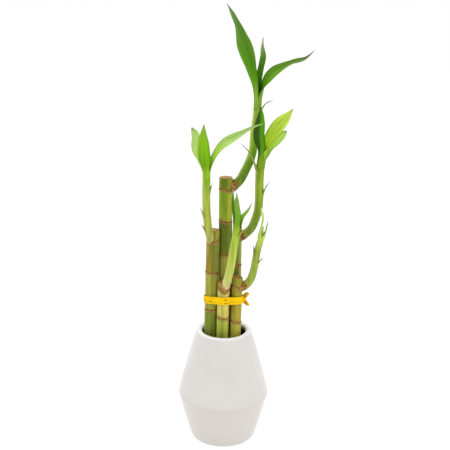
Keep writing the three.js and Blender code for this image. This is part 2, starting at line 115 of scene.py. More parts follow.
# a number for each point, or a row of three
def setNumbers(mesh, key, values):
    numbers = np.asarray(values, dtype=np.float32)
    kind, field = ("FLOAT_VECTOR", "vector") if numbers.ndim == 2 else ("FLOAT", "value")
    mesh.attributes.new(key, kind, "POINT").data.foreach_set(field, numbers.ravel())


# a mesh from points in millimetres, with its numbers by name
def meshOf(name, points, faces=(), numbers=None, edges=()):
    mesh = bpy.data.meshes.new(name)
    mesh.from_pydata((np.asarray(points) * mm).tolist(), edges, faces)
    for key, values in (numbers or {}).items():
        setNumbers(mesh, key, values)
    mesh.shade_smooth()
    return mesh


# paths and rings, in millimetres

def unit(vectors):
    return vectors / np.linalg.norm(vectors, axis=-1, keepdims=True)


def smoothstep(start, end, value):
    share = np.clip((value - start) / (end - start), 0, 1)
    return share * share * (3 - 2 * share)


def circleAngles(count):
    return 2 * math.pi * np.arange(count) / count


# a centripetal Catmull-Rom curve through the points, at shares of its spans from 0 to 1
def curveAt(points, shares):
    points = np.asarray(points, float)
    padded = np.vstack([2 * points[0] - points[1], points, 2 * points[-1] - points[-2]])
    spans = len(points) - 1
    place = np.clip(np.asarray(shares) * spans, 0, spans)
    index = np.minimum(place.astype(int), spans - 1)
    w = (place - index)[:, None]
    p0, p1, p2, p3 = (padded[index + k] for k in range(4))
    d0, d1, d2 = (np.sqrt(np.linalg.norm(b - a, axis=1))[:, None] for a, b in ((p0, p1), (p1, p2), (p2, p3)))
    d1 = np.where(d1 < 1e-4, 1.0, d1)
    d0, d2 = (np.where(d < 1e-4, d1, d) for d in (d0, d2))
    m1 = ((p1 - p0) / d0 - (p2 - p0) / (d0 + d1) + (p2 - p1) / d1) * d1
    m2 = ((p2 - p1) / d1 - (p3 - p1) / (d1 + d2) + (p3 - p2) / d2) * d1
    return p1 + m1 * w + (3 * (p2 - p1) - 2 * m1 - m2) * w**2 + (2 * (p1 - p2) + m1 + m2) * w**3


# places and directions at even shares of the curve's length, and that length
def alongCurve(points, shares):
    fine = np.linspace(0, 1, 801)
    lengths = np.linalg.norm(np.diff(curveAt(points, fine), axis=0), axis=1)
    lengths = np.concatenate([[0], np.cumsum(lengths)])
    params = np.interp(np.asarray(shares) * lengths[-1], lengths, fine)
    step = 1e-4
    ahead, behind = curveAt(points, np.minimum(params + step, 1)), curveAt(points, np.maximum(params - step, 0))
    return curveAt(points, params), unit(ahead - behind), lengths[-1]


# two directions square to each tangent, the second towards the back
def squareTo(tangents):
    side = unit(np.cross(tangents, [0, 1, 0]))
    return side, np.cross(side, tangents)


# quads between rings of equally many points
def ringFaces(rows, count):
    faces = []
    for low in range(0, (rows - 1) * count, count):
        for j in range(count):
            after = (j + 1) % count
            faces.append((low + j, low + after, low + count + after, low + count + j))
    return faces


# the same, closed at each end with a fan from a point; the two points come last
def ballFaces(rows, count):
    faces = ringFaces(rows, count)
    last, tip = (rows - 1) * count, rows * count
    for j in range(count):
        after = (j + 1) % count
        faces += [(tip, after, j), (last + j, last + after, tip + 1)]
    return faces


# camera

view = {
    "place": (0, -584, 357),  # mm
    "pitch": 15.6,  # degrees below level
    "roll": 0.62,
    "lens": 57.6,
    "sensor": 36,
}
cameraData = bpy.data.cameras.new("camera")
cameraData.lens = view["lens"]
cameraData.sensor_width = view["sensor"]
camera = bpy.data.objects.new("camera", cameraData)
camera.location = Vector(view["place"]) * mm
tilt = Matrix.Rotation(math.radians(90 - view["pitch"]), 3, "X")
camera.rotation_euler = (tilt @ Matrix.Rotation(math.radians(view["roll"]), 3, "Z")).to_euler()
scene.collection.objects.link(camera)
scene.camera = camera
print("camera")

# stage: a white table under white soft boxes

stage = {
    "floor": "#ffffff",
    "glow": 0.8,
    "paper": 0.3,
    "size": 12,
    "sky": 1.0,
    "aim": (0, 0, 170),  # mm, where the lamps point
    "lamps": {
        "key": {"place": (500, -500, 900), "size": 0.5, "power": 1.2},
        "top": {"place": (-150, 150, 1100), "size": 0.6, "power": 3},
    },
}
scene.view_settings.view_transform = "Standard"
paper, tree = newMaterial("whitePaper")  # backdrop paper, lit until it is almost white
diffuse = addNode(tree, "BsdfDiffuse", {"Color": (stage["paper"],) * 3 + (1,)})
glow = addNode(tree, "Emission", {"Color": stage["floor"], "Strength": stage["glow"]})
both = addNode(tree, "AddShader", {0: diffuse, 1: glow})
addNode(tree, "OutputMaterial", {"Surface": both})
half = stage["size"] / mm / 2
floorMesh = meshOf("floor", [(-half, -half, 0), (half, -half, 0), (half, half, 0), (-half, half, 0)], [(0, 1, 2, 3)])
addPiece("floor", floorMesh, paper)

world = bpy.data.worlds.new("studio")
scene.world = world
world.use_nodes = True
sky = world.node_tree.nodes["Background"].inputs
sky["Color"].default_value = (1, 1, 1, 1)
sky["Strength"].default_value = stage["sky"]

for name, light in stage["lamps"].items():
    lampData = bpy.data.lights.new(name, "AREA")
    lampData.size = light["size"]
    lampData.energy = light["power"]
    lamp = bpy.data.objects.new(name, lampData)
    lamp.location = Vector(light["place"]) * mm
    lamp.rotation_euler = (Vector(stage["aim"]) * mm - lamp.location).to_track_quat("-Z", "Y").to_euler()
    scene.collection.objects.link(lamp)
print("stage")

# vase: slip-cast stoneware under an off-white gloss glaze

vase = {
    "height": 100,
    "foot": 28.7,
    "belly": 40,
    "mouth": 24.6,
    "opening": 18.8,
    "bellyHeight": 41.2,
    "bellyRound": 1.7,
    "footRound": 1.2,
    "hollow": 0.6,  # the underside, inside its resting ring
    "lip": 3,
    "wall": 4,
    "floor": 6,
    "bulge": 0.9,
    "neckBend": 71,  # heights where the inside wall bends
    "heelBend": 22,
    "sides": 180,
    "insideRows": 40,  # rings of points down the inside
    # painted light on the glaze: painted shade below the belly and a painted highlight on the lip; for each, two
    # heights, how strong it is at the second, and the colour
    "paintedLight": [(44, 41.5, 0.7, "#cbc4bc"), (98.5, 100.6, 0.9, "#f4f3f1")],
}


def bend(a, b, c, steps):
    t = np.linspace(0, 1, steps + 1)[1:, None]
    a, b, c = (np.array(p, float) for p in (a, b, c))
    return (1 - t) ** 2 * a + 2 * t * (1 - t) * b + t**2 * c


# half of the section: out along the foot, up the outside, over the lip and down the inside
def vaseSection(v):
    foot, belly, mouth, opening = v["foot"], v["belly"], v["mouth"], v["opening"]
    ridge = belly - 0.27 * v["bellyRound"]
    inside = belly - v["wall"]
    low, high = v["bellyHeight"] - v["bellyRound"], v["bellyHeight"] + v["bellyRound"]
    shoulder = v["height"] - v["lip"]
    footEdge = (foot + 0.3 * v["footRound"], v["footRound"])
    rim = ((mouth + opening) / 2, v["height"])
    return np.vstack([
        [(0, v["hollow"]), (foot - 5.5, v["hollow"]), (foot - 4.8, 0), (foot - v["footRound"], 0)],
        bend((foot - v["footRound"], 0), (foot, 0), footEdge, 6),
        bend(footEdge, ((foot + ridge) / 2 + v["bulge"], v["bellyHeight"] / 2), (ridge, low), 16),
        bend((ridge, low), (belly + 0.2, v["bellyHeight"]), (ridge, high), 12),
        bend((ridge, high), ((belly + mouth) / 2 + v["bulge"], (high + v["height"]) / 2 - 1.7), (mouth, shoulder), 20),
        bend((mouth, shoulder), (mouth - 0.4, v["height"]), rim, 8),
        bend(rim, (opening, v["height"]), (opening, shoulder), 8),
        bend((opening, shoulder), ((opening + inside) / 2, v["neckBend"]), (inside, high), 16),
        bend((inside, high), (inside + 0.6, v["bellyHeight"]), (inside, low), 6),
        bend((inside, low), ((inside + foot - v["wall"]) / 2, v["heelBend"]), (foot - v["wall"], v["floor"]), 10),
        [(0, v["floor"])],
    ])


def turnVase(name, v):
    section = vaseSection(v)
    body = section[1:-1]
    points = [(r * math.cos(a), r * math.sin(a), z) for r, z in body for a in circleAngles(v["sides"])]
    points += [(0, 0, section[0][1]), (0, 0, section[-1][1])]
    # 1 down the inside, where the glaze gets painted shade
    inside = np.repeat(np.arange(len(body)) > len(body) - v["insideRows"], v["sides"])
    return meshOf(name, points, ballFaces(len(body), v["sides"]), {"inside": [*inside, False, True]})


glaze, tree = newMaterial("glazedStoneware")  # gloss glaze: smooth, a little wavy where it ran
place = addNode(tree, "TexCoord").outputs["Object"]
height = addNode(tree, "SeparateXYZ", {"Vector": place}).outputs["Z"]
cloud = addNode(tree, "TexNoise", {"Vector": place, "Scale": 1 / (28 * mm), "Detail": 3})
tone = addNode(tree, "ValToRGB", {"Fac": cloud}, [(0.3, "#cecbc7"), (0.7, "#d3d0cc")])
for start, end, share, colour in vase["paintedLight"]:  # painted shade below the belly, painted highlight on the lip
    reached = addNode(tree, "MapRange",
                      {"Value": height, "From Min": start * mm, "From Max": end * mm, "To Max": share})
    tone = addNode(tree, "Mix", {"Factor": reached, 6: tone, 7: colour})
# painted shade: the inside wall darkens to near black from the lip downwards, and its reflection fades there too
depth = addNode(tree, "MapRange", {"Value": height, "From Min": 99.2 * mm, "From Max": 93 * mm})
wall = addNode(tree, "Attribute", attribute_name="inside").outputs["Fac"]
shade = addNode(tree, "Math", {0: wall, 1: depth}, operation="MULTIPLY")
colour = addNode(tree, "Mix", {"Factor": shade, 6: tone, 7: "#120d03"})
shine = addNode(tree, "MapRange", {"Value": shade, "To Min": 0.5, "To Max": 0.1})
ripple = addNode(tree, "TexNoise", {"Vector": place, "Scale": 1 / (9 * mm), "Detail": 1})
finishMaterial(tree, colour, (ripple, 0.12, 0.4), {"Roughness": 0.24, "IOR": 1.5, "Specular IOR Level": shine})

piece = addPiece("vase_body", turnVase("vase_body", vase), glaze)
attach(piece, "root")
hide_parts("vase")
print("vase")

# water: still and clear, coloured dark as painted shade, for the dark inside the closed vase

pond, tree = newMaterial("stillWater")
place = addNode(tree, "TexCoord").outputs["Object"]
ripple = addNode(tree, "TexNoise", {"Vector": place, "Scale": 1 / (14 * mm), "Detail": 1})
tint = addNode(tree, "ValToRGB", {"Fac": ripple}, [(0.3, "#1d1a0c"), (0.7, "#2a2512")])
finishMaterial(tree, tint, (ripple, 0.1, 0.3), {"Roughness": 0.06, "IOR": 1.33})
for slot in bpy.data.objects["water"].material_slots:
    slot.material = pond
print("water")

# canes: cut stems, each leaning from foot to head, with the heights of their joints above the foot,
# each internode's colour from the foot up, and how patchy it is with bark brown

canes = {
    "tall": {"foot": (0.3, 5.5), "head": (0.4, 5.5, 234), "radius": 5.7,
             "joints": [20, 47, 74, 101, 131, 160, 190, 217],
             "skins": ["#6d7a2a"] * 4 + ["#777a2c", "#989c3c", "#607424", "#a0b432", "#7c8c22"],
             "brown": [0, 0, 0, 0, 0.3, 0.1, 0.1, 0.15, 0.15]},
    "left": {"foot": (-13.6, -1.3), "head": (-9.9, -0.8, 190), "radius": 5.6,
             "joints": [22, 51, 81, 112, 146, 172],
             "skins": ["#748132"] * 3 + ["#77852f", "#93993a", "#7e8632", "#94953a"],
             "brown": [0, 0, 0, 0.1, 0.15, 0.6, 0.2]},
    "front": {"foot": (-3, -6.4), "head": (-0.4, -6.4, 145.5), "radius": 5.2,
              "joints": [21, 49, 78, 107, 132],
              "skins": ["#a2ac42"] * 3 + ["#a4ae44", "#c4bc60", "#a9954a"],
              "brown": [0, 0, 0, 0.05, 0.1, 0.6]},
    "right": {"foot": (8, -4), "head": (11, -4, 149), "radius": 4.8,
              "joints": [17, 44, 73, 102, 135],
              "skins": ["#8c9434"] * 3 + ["#929836", "#868a2c", "#788228"],
              "brown": [0, 0, 0, 0.15, 0.5, 0.2]},
    "back": {"foot": (10.8, 6.6), "head": (10.6, 6.6, 191), "radius": 3.9,
             "joints": [10, 34, 58, 82, 106, 129, 151, 176],
             "skins": ["#8d9440"] * 6 + ["#9a9648", "#94a452", "#6f6a30"],
             "brown": [0, 0, 0, 0, 0, 0.2, 0.2, 0.3, 0.5]},
}
caneLook = {
    "sweep": {"Sides": 44, "Ridge": 0.55 * mm, "Waviness": 0.35 * mm, "Wave Size": 14 * mm},
    "sink": 0.28,  # share of a ridge's height taken off the girth
    "slant": 0.55,  # mm that a joint's ring leans
    "step": 2.5,  # mm between rings of points
    "nearJoint": (-4, 3, 0.4),  # mm from a joint where finer rings begin and end, and their step
    "bevel": (0.45, 0.6),  # at both ends, inwards and upwards
    "sharp": 50,  # degrees past which an edge shows
    "cutDepth": 0.3,
    "buds": 5,  # root buds at each joint
    "budSize": 0.55,
    "budSink": 0.1,
    "budRise": 0.9,  # mm above the joint, give or take
    "budSpread": (-0.3, 0.6),
    "budSkin": {"joint": -1.2, "skin": (0.2, 0.1, 0.03), "brown": 1.0, "cut": 0.0},
}
cup = {
    "rim": 0.7,  # mm, how far it stands off the stem
    "thinning": 0.7,  # share of that which it loses towards its top
    "ragged": 0.3,  # how uneven its height is
    "rough": 0.2,
    "within": 0.45,  # share of the shoot in which its rim is looked for, in this many places
    "places": 160,
    "highest": 1.3,  # times the shoot's own highest share
    "inside": [(0, 0.4), (8, 0.5)],  # the rings that close it: places below its rim, mm inside it
    "rows": 16,
    "sides": 48,
    "skin": "#8a6a30",
    "brown": 0.3,
    "scar": (-1.6, 4.6, 3.6),  # coloured as if this far above a joint: its foot, its height more, its inside
}

# Shoots: a stem's path, its radius at both ends, the share where the leaves begin, the height of the cane's
# collar and its dip, the cup's height and its highest share, the leaves' sheath, colours and scars. A bract's
# numbers are its share of the stem, its turn, its length and its lean.

shoots = {
    "tall": {
        "points": [(5, 5.6, 225), (11.4, 6.2, 230.5), (16.4, 7, 239.5), (20.4, 8, 248.5), (22.6, 8.5, 257),
                   (23.2, 8, 270), (25, 7.5, 286), (25.6, 7, 301)],
        "root": 3.9, "tip": 3, "cup": 0.08, "leafy": 0.88, "collar": 217, "dip": 1.6, "cuff": 5, "sheath": 8,
        "bracts": [(0.84, 0.2, 16, 0.8)],
        "skins": ["#74822c", "#587a1c", "#709424", "#8cbc2c", "#a4bc48", "#789a2c"],
        "scars": [0.2, 0.36, 0.52, 0.66, 0.78],
    },
    "left": {
        "points": [(-11.6, -2.5, 180.5), (-12.3, -6, 184.5), (-13.6, -8, 191), (-15.2, -7.4, 206), (-15.7, -6.4, 220),
                   (-15.6, -5.4, 234), (-15.7, -5, 242)],
        "root": 3.3, "tip": 3.3, "cup": 0.1, "leafy": 0.9, "collar": 178.4, "dip": 6, "cuff": 1.6, "sheath": 6,
        "bracts": [(0.16, 3.1, 10, 0.2), (0.34, 3, 13, 0.2), (0.66, 0.2, 12, 0.24)],
        "skins": ["#b4a868", "#9ca444", "#9ca83c", "#aab848", "#8cb020"],
        "scars": [0.16, 0.34, 0.6, 0.78],
    },
    "front": {
        "points": [(0.4, -6.8, 140.5), (1.4, -10, 144.8), (2.8, -11.7, 150.5), (4.4, -12, 157), (6, -12, 167),
                   (7.3, -12, 177), (8.8, -11.8, 186), (10.2, -11.4, 199)],
        "root": 3.5, "tip": 3.1, "cup": 0.1, "leafy": 0.86, "collar": 136.5, "dip": 5.6, "cuff": 1.8, "sheath": 5,
        "bracts": [(0.79, 0.3, 12, 0.45)],
        "skins": ["#d8c494", "#d4cc70", "#c4c85c", "#a4b840", "#98b430"],
        "scars": [0.3, 0.62, 0.8],
    },
    "right": {
        "points": [(13.4, -4, 140), (18.8, -4.5, 142.6), (22.6, -5, 148.4), (25, -5.4, 157), (26.3, -6, 166),
                   (27.9, -6, 175), (30.2, -6, 184), (32, -6, 195)],
        "root": 3.6, "tip": 2.4, "cup": 0.11, "leafy": 0.84, "collar": 135, "dip": 1.2, "cuff": 5, "sheath": 3.5,
        "bracts": [(0.5, 2.9, 15, 0.12), (0.44, 0.3, 9, 0.55)],
        "skins": ["#b8a860", "#98a842", "#92a43e", "#7e9232", "#b8d058"],
        "scars": [0.25, 0.47, 0.56, 0.75],
    },
    "back": {
        "points": [(11.9, 6.3, 181.5), (17, 5.2, 184.6), (22.4, 4, 190.5), (25.4, 3, 198), (27.6, 2.4, 207),
                   (28.3, 2, 218), (28.1, 1.2, 231), (28.5, 0.4, 243), (29.6, 0, 252)],
        "root": 3.5, "tip": 3.5, "cup": 0.09, "leafy": 0.9, "collar": 176, "dip": 1.6, "cuff": 5.5, "sheath": 6,
        "bracts": [(0.57, 0.2, 15, 0.42), (0.84, 3, 30, 0.58)],
        "skins": ["#8a8a3a", "#74902c", "#74901c", "#849c24", "#6c8c08"],
        "scars": [0.3, 0.56, 0.7, 0.83],
    },
}
shootLook = {
    "sweep": {"Sides": 32, "Ridge": 0.16 * mm, "Waviness": 0.25 * mm, "Wave Size": 9 * mm},
    "slant": 0.9,
    "rings": (110, 10),  # rings of points up the bare stem, and in the core above it
    "coreTaper": 0.6,
    # a bract's widths are for a stem of radius 1, its bow is how far it rises and leans out half way
    "bract": {"widths": [1.2, 1.7, 1.7, 1.55, 1.35, 1.15, 0.95, 0.75, 0.5, 0.25, 0.1], "fold": (0.9, 0.5),
              "bow": (0.5, 0.35), "sink": 0.5, "darker": 0.6, "scar": 5.0, "steps": 24, "strips": 10},
}


# a geometry tree with its inputs as pairs of label and kind, and what it is given
def newTree(name, inputs):
    tree = bpy.data.node_groups.new(name, "GeometryNodeTree")
    for label, kind in inputs:
        tree.interface.new_socket(label, in_out="INPUT", socket_type="NodeSocket" + kind)
    tree.interface.new_socket("Made", in_out="OUTPUT", socket_type="NodeSocketGeometry")
    return tree, addNode(tree, "NodeGroupInput").outputs


def closeTree(tree, geometry, material):
    real = addNode(tree, "GeometryNodeRealizeInstances", {0: geometry})
    smooth = addNode(tree, "GeometryNodeSetShadeSmooth", {0: real})
    made = addNode(tree, "GeometryNodeSetMaterial", {"Geometry": smooth, "Material": material})
    addNode(tree, "NodeGroupOutput", {0: made})


# Sweeps a ring along the path it is given. The path's points carry girth, joint (mm above the nearest
# joint) and slant; the tree raises a ridge at each joint and stores the slanted distance for the bark.
def makeSweepTree():
    tree, given = newTree("sweptStem", [
        ("Path", "Geometry"), ("Sides", "Int"), ("Ridge", "Float"), ("Waviness", "Float"), ("Wave Size", "Float"),
        ("Seed", "Float"), ("Material", "Material")])
    girth, joint = (addNode(tree, "GeometryNodeInputNamedAttribute", {"Name": key}) for key in ("girth", "joint"))
    slant = addNode(tree, "GeometryNodeInputNamedAttribute", {"Name": "slant"}, data_type="FLOAT_VECTOR")
    path = addNode(tree, "GeometryNodeMeshToCurve", {"Mesh": given["Path"]})
    circle = addNode(tree, "GeometryNodeCurvePrimitiveCircle", {"Resolution": given["Sides"], "Radius": 1.0})
    tube = addNode(tree, "GeometryNodeCurveToMesh",
                   {"Curve": path, "Profile Curve": circle, "Scale": girth, "Fill Caps": True})
    normal = addNode(tree, "GeometryNodeInputNormal")
    lift = addNode(tree, "VectorMath", {0: normal, 1: slant}, operation="DOT_PRODUCT")
    dipped = addNode(tree, "Math", {0: lift, 1: -0.6}, operation="MAXIMUM")
    above = addNode(tree, "Math", {0: joint, 1: dipped}, operation="ADD")
    marked = addNode(tree, "GeometryNodeStoreNamedAttribute", {"Geometry": tube, "Name": "joint", "Value": above},
                     data_type="FLOAT", domain="POINT")
    across = addNode(tree, "MapRange", {"Value": joint, "From Min": -6.0, "From Max": 6.0})
    profile = addNode(tree, "FloatCurve", {"Value": across})
    # a slow swelling below the joint, a sharp ridge and a groove just above it
    ridgeShape = [(0, 0.28), (0.3, 0.4), (0.44, 0.62), (0.49, 1), (0.53, 0.85), (0.57, 0.22), (0.66, 0.26), (1, 0.28)]
    line = profile.mapping.curves[0]
    for index, (x, y) in enumerate(ridgeShape):
        point = line.points[index] if index < 2 else line.points.new(x, y)
        point.location = (x, y)
    profile.mapping.update()
    raised = addNode(tree, "Math", {0: profile, 1: given["Ridge"]}, operation="MULTIPLY")
    size = addNode(tree, "Math", {0: 1.0, 1: given["Wave Size"]}, operation="DIVIDE")
    cloud = addNode(tree, "TexNoise", {"W": given["Seed"], "Scale": size, "Detail": 2}, noise_dimensions="4D")
    swell = addNode(tree, "Math", {0: cloud, 1: 0.5}, operation="SUBTRACT")
    grown = addNode(tree, "Math", {0: swell, 1: given["Waviness"], 2: raised}, operation="MULTIPLY_ADD")
    offset = addNode(tree, "VectorMath", {0: normal, "Scale": grown}, operation="SCALE")
    shaped = addNode(tree, "GeometryNodeSetPosition", {"Geometry": marked, "Offset": offset})
    closeTree(tree, shaped, given["Material"])
    return tree


# Sets a small flattened bead on every point it is given, facing the point's own direction.
def makeBudTree():
    tree, given = newTree("rootBuds", [("Points", "Geometry"), ("Size", "Float"), ("Seed", "Int"),
                                       ("Material", "Material")])
    bead = addNode(tree, "GeometryNodeMeshIcoSphere", {"Radius": given["Size"], "Subdivisions": 2})
    out = addNode(tree, "GeometryNodeInputNamedAttribute", {"Name": "out"}, data_type="FLOAT_VECTOR")
    turn = addNode(tree, "FunctionNodeAlignRotationToVector", {"Vector": out}, axis="Z")
    scale = addNode(tree, "FunctionNodeRandomValue",
                    {0: (0.7, 0.5, 0.35), 1: (1.5, 0.9, 0.6), "Seed": given["Seed"]}, data_type="FLOAT_VECTOR")
    beads = addNode(tree, "GeometryNodeInstanceOnPoints",
                    {"Points": given["Points"], "Instance": bead, "Rotation": turn, "Scale": scale})
    closeTree(tree, beads, given["Material"])
    return tree


# the plain mesh that a tree grows from a mesh, with the tree's inputs given by name
def grow(name, base, tree, inputs):
    holder = bpy.data.objects.new(name, base)
    scene.collection.objects.link(holder)
    modifier = holder.modifiers.new("grow", "NODES")
    modifier.node_group = tree
    for item in tree.interface.items_tree:
        if item.in_out == "INPUT" and item.name in inputs:
            modifier[item.identifier] = inputs[item.name]
    depsgraph = bpy.context.evaluated_depsgraph_get()
    mesh = bpy.data.meshes.new_from_object(holder.evaluated_get(depsgraph))
    mesh.name = name
    bpy.data.objects.remove(holder)
    return mesh


# a stem grown along its centres, which are a line of points with their numbers
def growStem(name, centres, numbers, inputs):
    edges = [(i, i + 1) for i in range(len(centres) - 1)]
    return grow(name, meshOf(name + "_line", centres, (), numbers, edges), sweepTree, inputs)


sweepTree = makeSweepTree()
budTree = makeBudTree()


# A stem's material and what bark and young stems share: places, the skin's own colour, the joints, how far a
# point faces right, fibres, and a tint of darker and paler streaks. A pattern is its size in mm and its detail.
def newStemMaterial(name, stretch, fibres, streaks, dark, pale):
    material, tree = newMaterial(name)
    given = addNode(tree, "TexCoord").outputs
    skin = addNode(tree, "Attribute", attribute_name="skin").outputs["Color"]
    joint = addNode(tree, "Attribute", attribute_name="joint").outputs["Fac"]
    right = addNode(tree, "SeparateXYZ", {"Vector": given["Normal"]}).outputs["X"]
    drawn = addNode(tree, "Mapping", {"Vector": given["Object"], "Scale": (1, 1, stretch)})
    fibre, streak = (addNode(tree, "TexNoise", {"Vector": drawn, "Scale": 1 / (size * mm), "Detail": detail})
                     for size, detail in (fibres, streaks))
    shade = addNode(tree, "MapRange", {"Value": streak, "From Min": 0.36, "From Max": 0.62})
    tint = addNode(tree, "Mix", {"Factor": shade, 6: (*dark, 1), 7: (*pale, 1)})
    return material, tree, given["Object"], skin, joint, right, fibre, tint


# waxy bark of a cut cane: fibres and dark streaks along it, brown scars at the joints, tan where it was cut
bark, tree, place, skin, joint, right, fibre, tint = newStemMaterial(
    "waxyCaneBark", 0.05, (0.9, 3), (8, 4), (0.5, 0.62, 0.45), (1.48, 1.34, 1.45))
brown, cut = (addNode(tree, "Attribute", attribute_name=key).outputs["Fac"] for key in ("brown", "cut"))
drawn = addNode(tree, "Mapping", {"Vector": place, "Scale": (1, 1, 0.3)})
blotch = addNode(tree, "TexNoise", {"Vector": drawn, "Scale": 1 / (7 * mm), "Detail": 4})
grain = addNode(tree, "TexNoise", {"Vector": place, "Scale": 1 / (1.6 * mm), "Detail": 3})
patch = addNode(tree, "MapRange", {"Value": blotch, "From Min": 0.44, "From Max": 0.6})
browned = addNode(tree, "Math", {0: patch, 1: brown}, operation="MULTIPLY")
barked = addNode(tree, "Mix", {"Factor": browned, 6: skin, 7: "#8a5c16"})
fineShade = addNode(tree, "Math", {0: fibre, 1: 0.6, 2: 0.7}, operation="MULTIPLY_ADD")
shaded = addNode(tree, "VectorMath", {0: barked, 1: tint}, operation="MULTIPLY")
streaked = addNode(tree, "VectorMath", {0: shaded, "Scale": fineShade}, operation="SCALE")
# painted highlight: here and there the bark that faces right is painted paler
rightSide = addNode(tree, "MapRange", {"Value": right, "From Min": 0.35, "From Max": 0.85})
litPatch = addNode(tree, "MapRange", {"Value": blotch, "From Min": 0.42, "From Max": 0.56, "To Max": 0.6})
pale = addNode(tree, "Math", {0: rightSide, 1: litPatch}, operation="MULTIPLY")
sideLitBark = addNode(tree, "Mix", {"Factor": pale, 6: streaked, 7: "#aaa648"})
# tan just above a joint, brown across it, darker green below, all frayed by 6 mm of blotch and 3.6 mm of grain
frayed = addNode(tree, "Math", {0: blotch, 1: 6.0, 2: joint}, operation="MULTIPLY_ADD")
near = addNode(tree, "Math", {0: grain, 1: 3.6, 2: frayed}, operation="MULTIPLY_ADD")
ringPlace = addNode(tree, "MapRange", {"Value": near, "From Min": -1.2, "From Max": 10.8})
ringMask = addNode(tree, "ValToRGB", {"Fac": ringPlace}, [
    (0.33, "#000000"), (1, "#000000"), (0.38, "#e0e0e0"), (0.59, "#f0f0f0"), (0.68, "#6a6a6a")])
ringColour = addNode(tree, "ValToRGB", {"Fac": ringPlace}, [
    (0.36, "#5a4018"), (1, "#a89a44"), (0.42, "#ae8a58"), (0.49, "#a07040"), (0.55, "#50300c"), (0.62, "#9c762c")])
ringed = addNode(tree, "Mix", {"Factor": ringMask, 6: sideLitBark, 7: ringColour})
cutColour = addNode(tree, "ValToRGB", {"Fac": grain}, [(0.35, "#84561c"), (0.65, "#b28c4a")])
final = addNode(tree, "Mix", {"Factor": cut, 6: ringed, 7: cutColour})
finishMaterial(tree, final, (fibre, 0.35, 0.25), {"Roughness": 0.4, "IOR": 1.4, "Specular IOR Level": 0.16})

# soft young stem with fine lines along it, a painted highlight on its left side, and faint scars where old leaves
# clasped it
youngStem, tree, place, skin, joint, right, fibre, tint = newStemMaterial(
    "youngStemSkin", 0.06, (0.8, 2), (3.6, 2), (0.7, 0.84, 0.66), (1.28, 1.16, 1.28))
green = addNode(tree, "VectorMath", {0: skin, 1: tint}, operation="MULTIPLY")
# painted highlight: the side that faces left is painted paler
litLeftSide = addNode(tree, "MapRange", {"Value": right, "From Min": -0.45, "From Max": -0.95, "To Max": 0.5})
leftLitStem = addNode(tree, "Mix", {"Factor": litLeftSide, 6: green, 7: "#c6cf86"})
scarPlace = addNode(tree, "MapRange", {"Value": joint, "From Min": -2.0, "From Max": 2.0})
scarMask = addNode(tree, "ValToRGB", {"Fac": scarPlace}, [
    (0.3, "#000000"), (0.75, "#000000"), (0.5, "#707070")])
scarred = addNode(tree, "Mix", {"Factor": scarMask, 6: leftLitStem, 7: "#c2b86a"})
finishMaterial(tree, scarred, (fibre, 0.3, 0.2), {"Roughness": 0.42, "IOR": 1.4, "Specular IOR Level": 0.16})


# each height's distance above its nearest joint
def aboveJoint(heights, joints):
    gaps = heights[:, None] - np.asarray(joints, float)[None, :]
    nearest = np.abs(gaps).argmin(axis=1)
    return gaps[np.arange(len(heights)), nearest], nearest


def stemGirth(shoot, shares):
    return shoot["root"] + (shoot["tip"] - shoot["root"]) * shares


def caneEnds(cane):
    foot, head = np.array([*cane["foot"], vase["floor"] + gap]), np.array(cane["head"], float)
    return foot, head, np.linalg.norm(head - foot)


# the brown cup on a cane's last joint: it follows the shoot's foot and stands a little way up it
def cupMesh(name, cane, shoot, seed):
    rows, sides, places = cup["rows"], cup["sides"], cup["places"]
    shares = np.linspace(0, cup["within"], places)
    centres, tangents, _ = alongCurve(shoot["points"], shares)
    side, back = squareTo(tangents)
    girth = stemGirth(shoot, shares)
    foot, head, _ = caneEnds(cane)
    axis = unit(head - foot)
    highest = int(places * shoot["cup"] * cup["highest"] / cup["within"])
    columns = []
    for angle in circleAngles(sides):
        spoke = side * math.cos(angle) + back * math.sin(angle)
        fromFoot = centres + spoke * (girth + cup["rim"])[:, None] - foot
        clear = np.linalg.norm(fromFoot - np.outer(fromFoot @ axis, axis), axis=1) - cane["radius"]
        ragged = 1 + cup["ragged"] * noise.noise(Vector((math.cos(angle) * 1.5, math.sin(angle) * 1.5, seed)))
        rim = min([*np.flatnonzero(clear > shoot["cuff"] * ragged)[:1], highest])
        column = []
        for row in range(rows):
            at = row / (rows - 1) * rim
            low = int(at)
            spot = centres[low] + (centres[low + 1] - centres[low]) * (at - low)
            thin = cup["rim"] * (1 - cup["thinning"] * (row / (rows - 1)) ** 3)
            rough = cup["rough"] * noise.noise(Vector((math.cos(angle) * 2, math.sin(angle) * 2, row * 0.3 + seed)))
            column.append(spot + spoke[low] * (girth[low] + thin + rough))
        for below, inset in cup["inside"]:
            low = max(rim - below, 0)
            column.append(centres[low] + spoke[low] * (girth[rim] - inset))
        columns.append(column)
    points = np.array(columns).transpose(1, 0, 2).reshape(-1, 3)
    count = len(points)
    caps = [tuple(range(sides - 1, -1, -1)), tuple(range(count - sides, count))]
    start, rise, inner = cup["scar"]
    return meshOf(name, points, ringFaces(rows + 2, sides) + caps, {
        "joint": np.repeat([start + rise * row / rows for row in range(rows)] + [inner] * 2, sides),
        "skin": np.repeat(blendOf([cup["skin"], shoot["skins"][0]], np.linspace(0, 1, rows + 2)), sides, axis=0),
        "brown": [cup["brown"]] * count,
        "cut": [0.0] * count,
    })


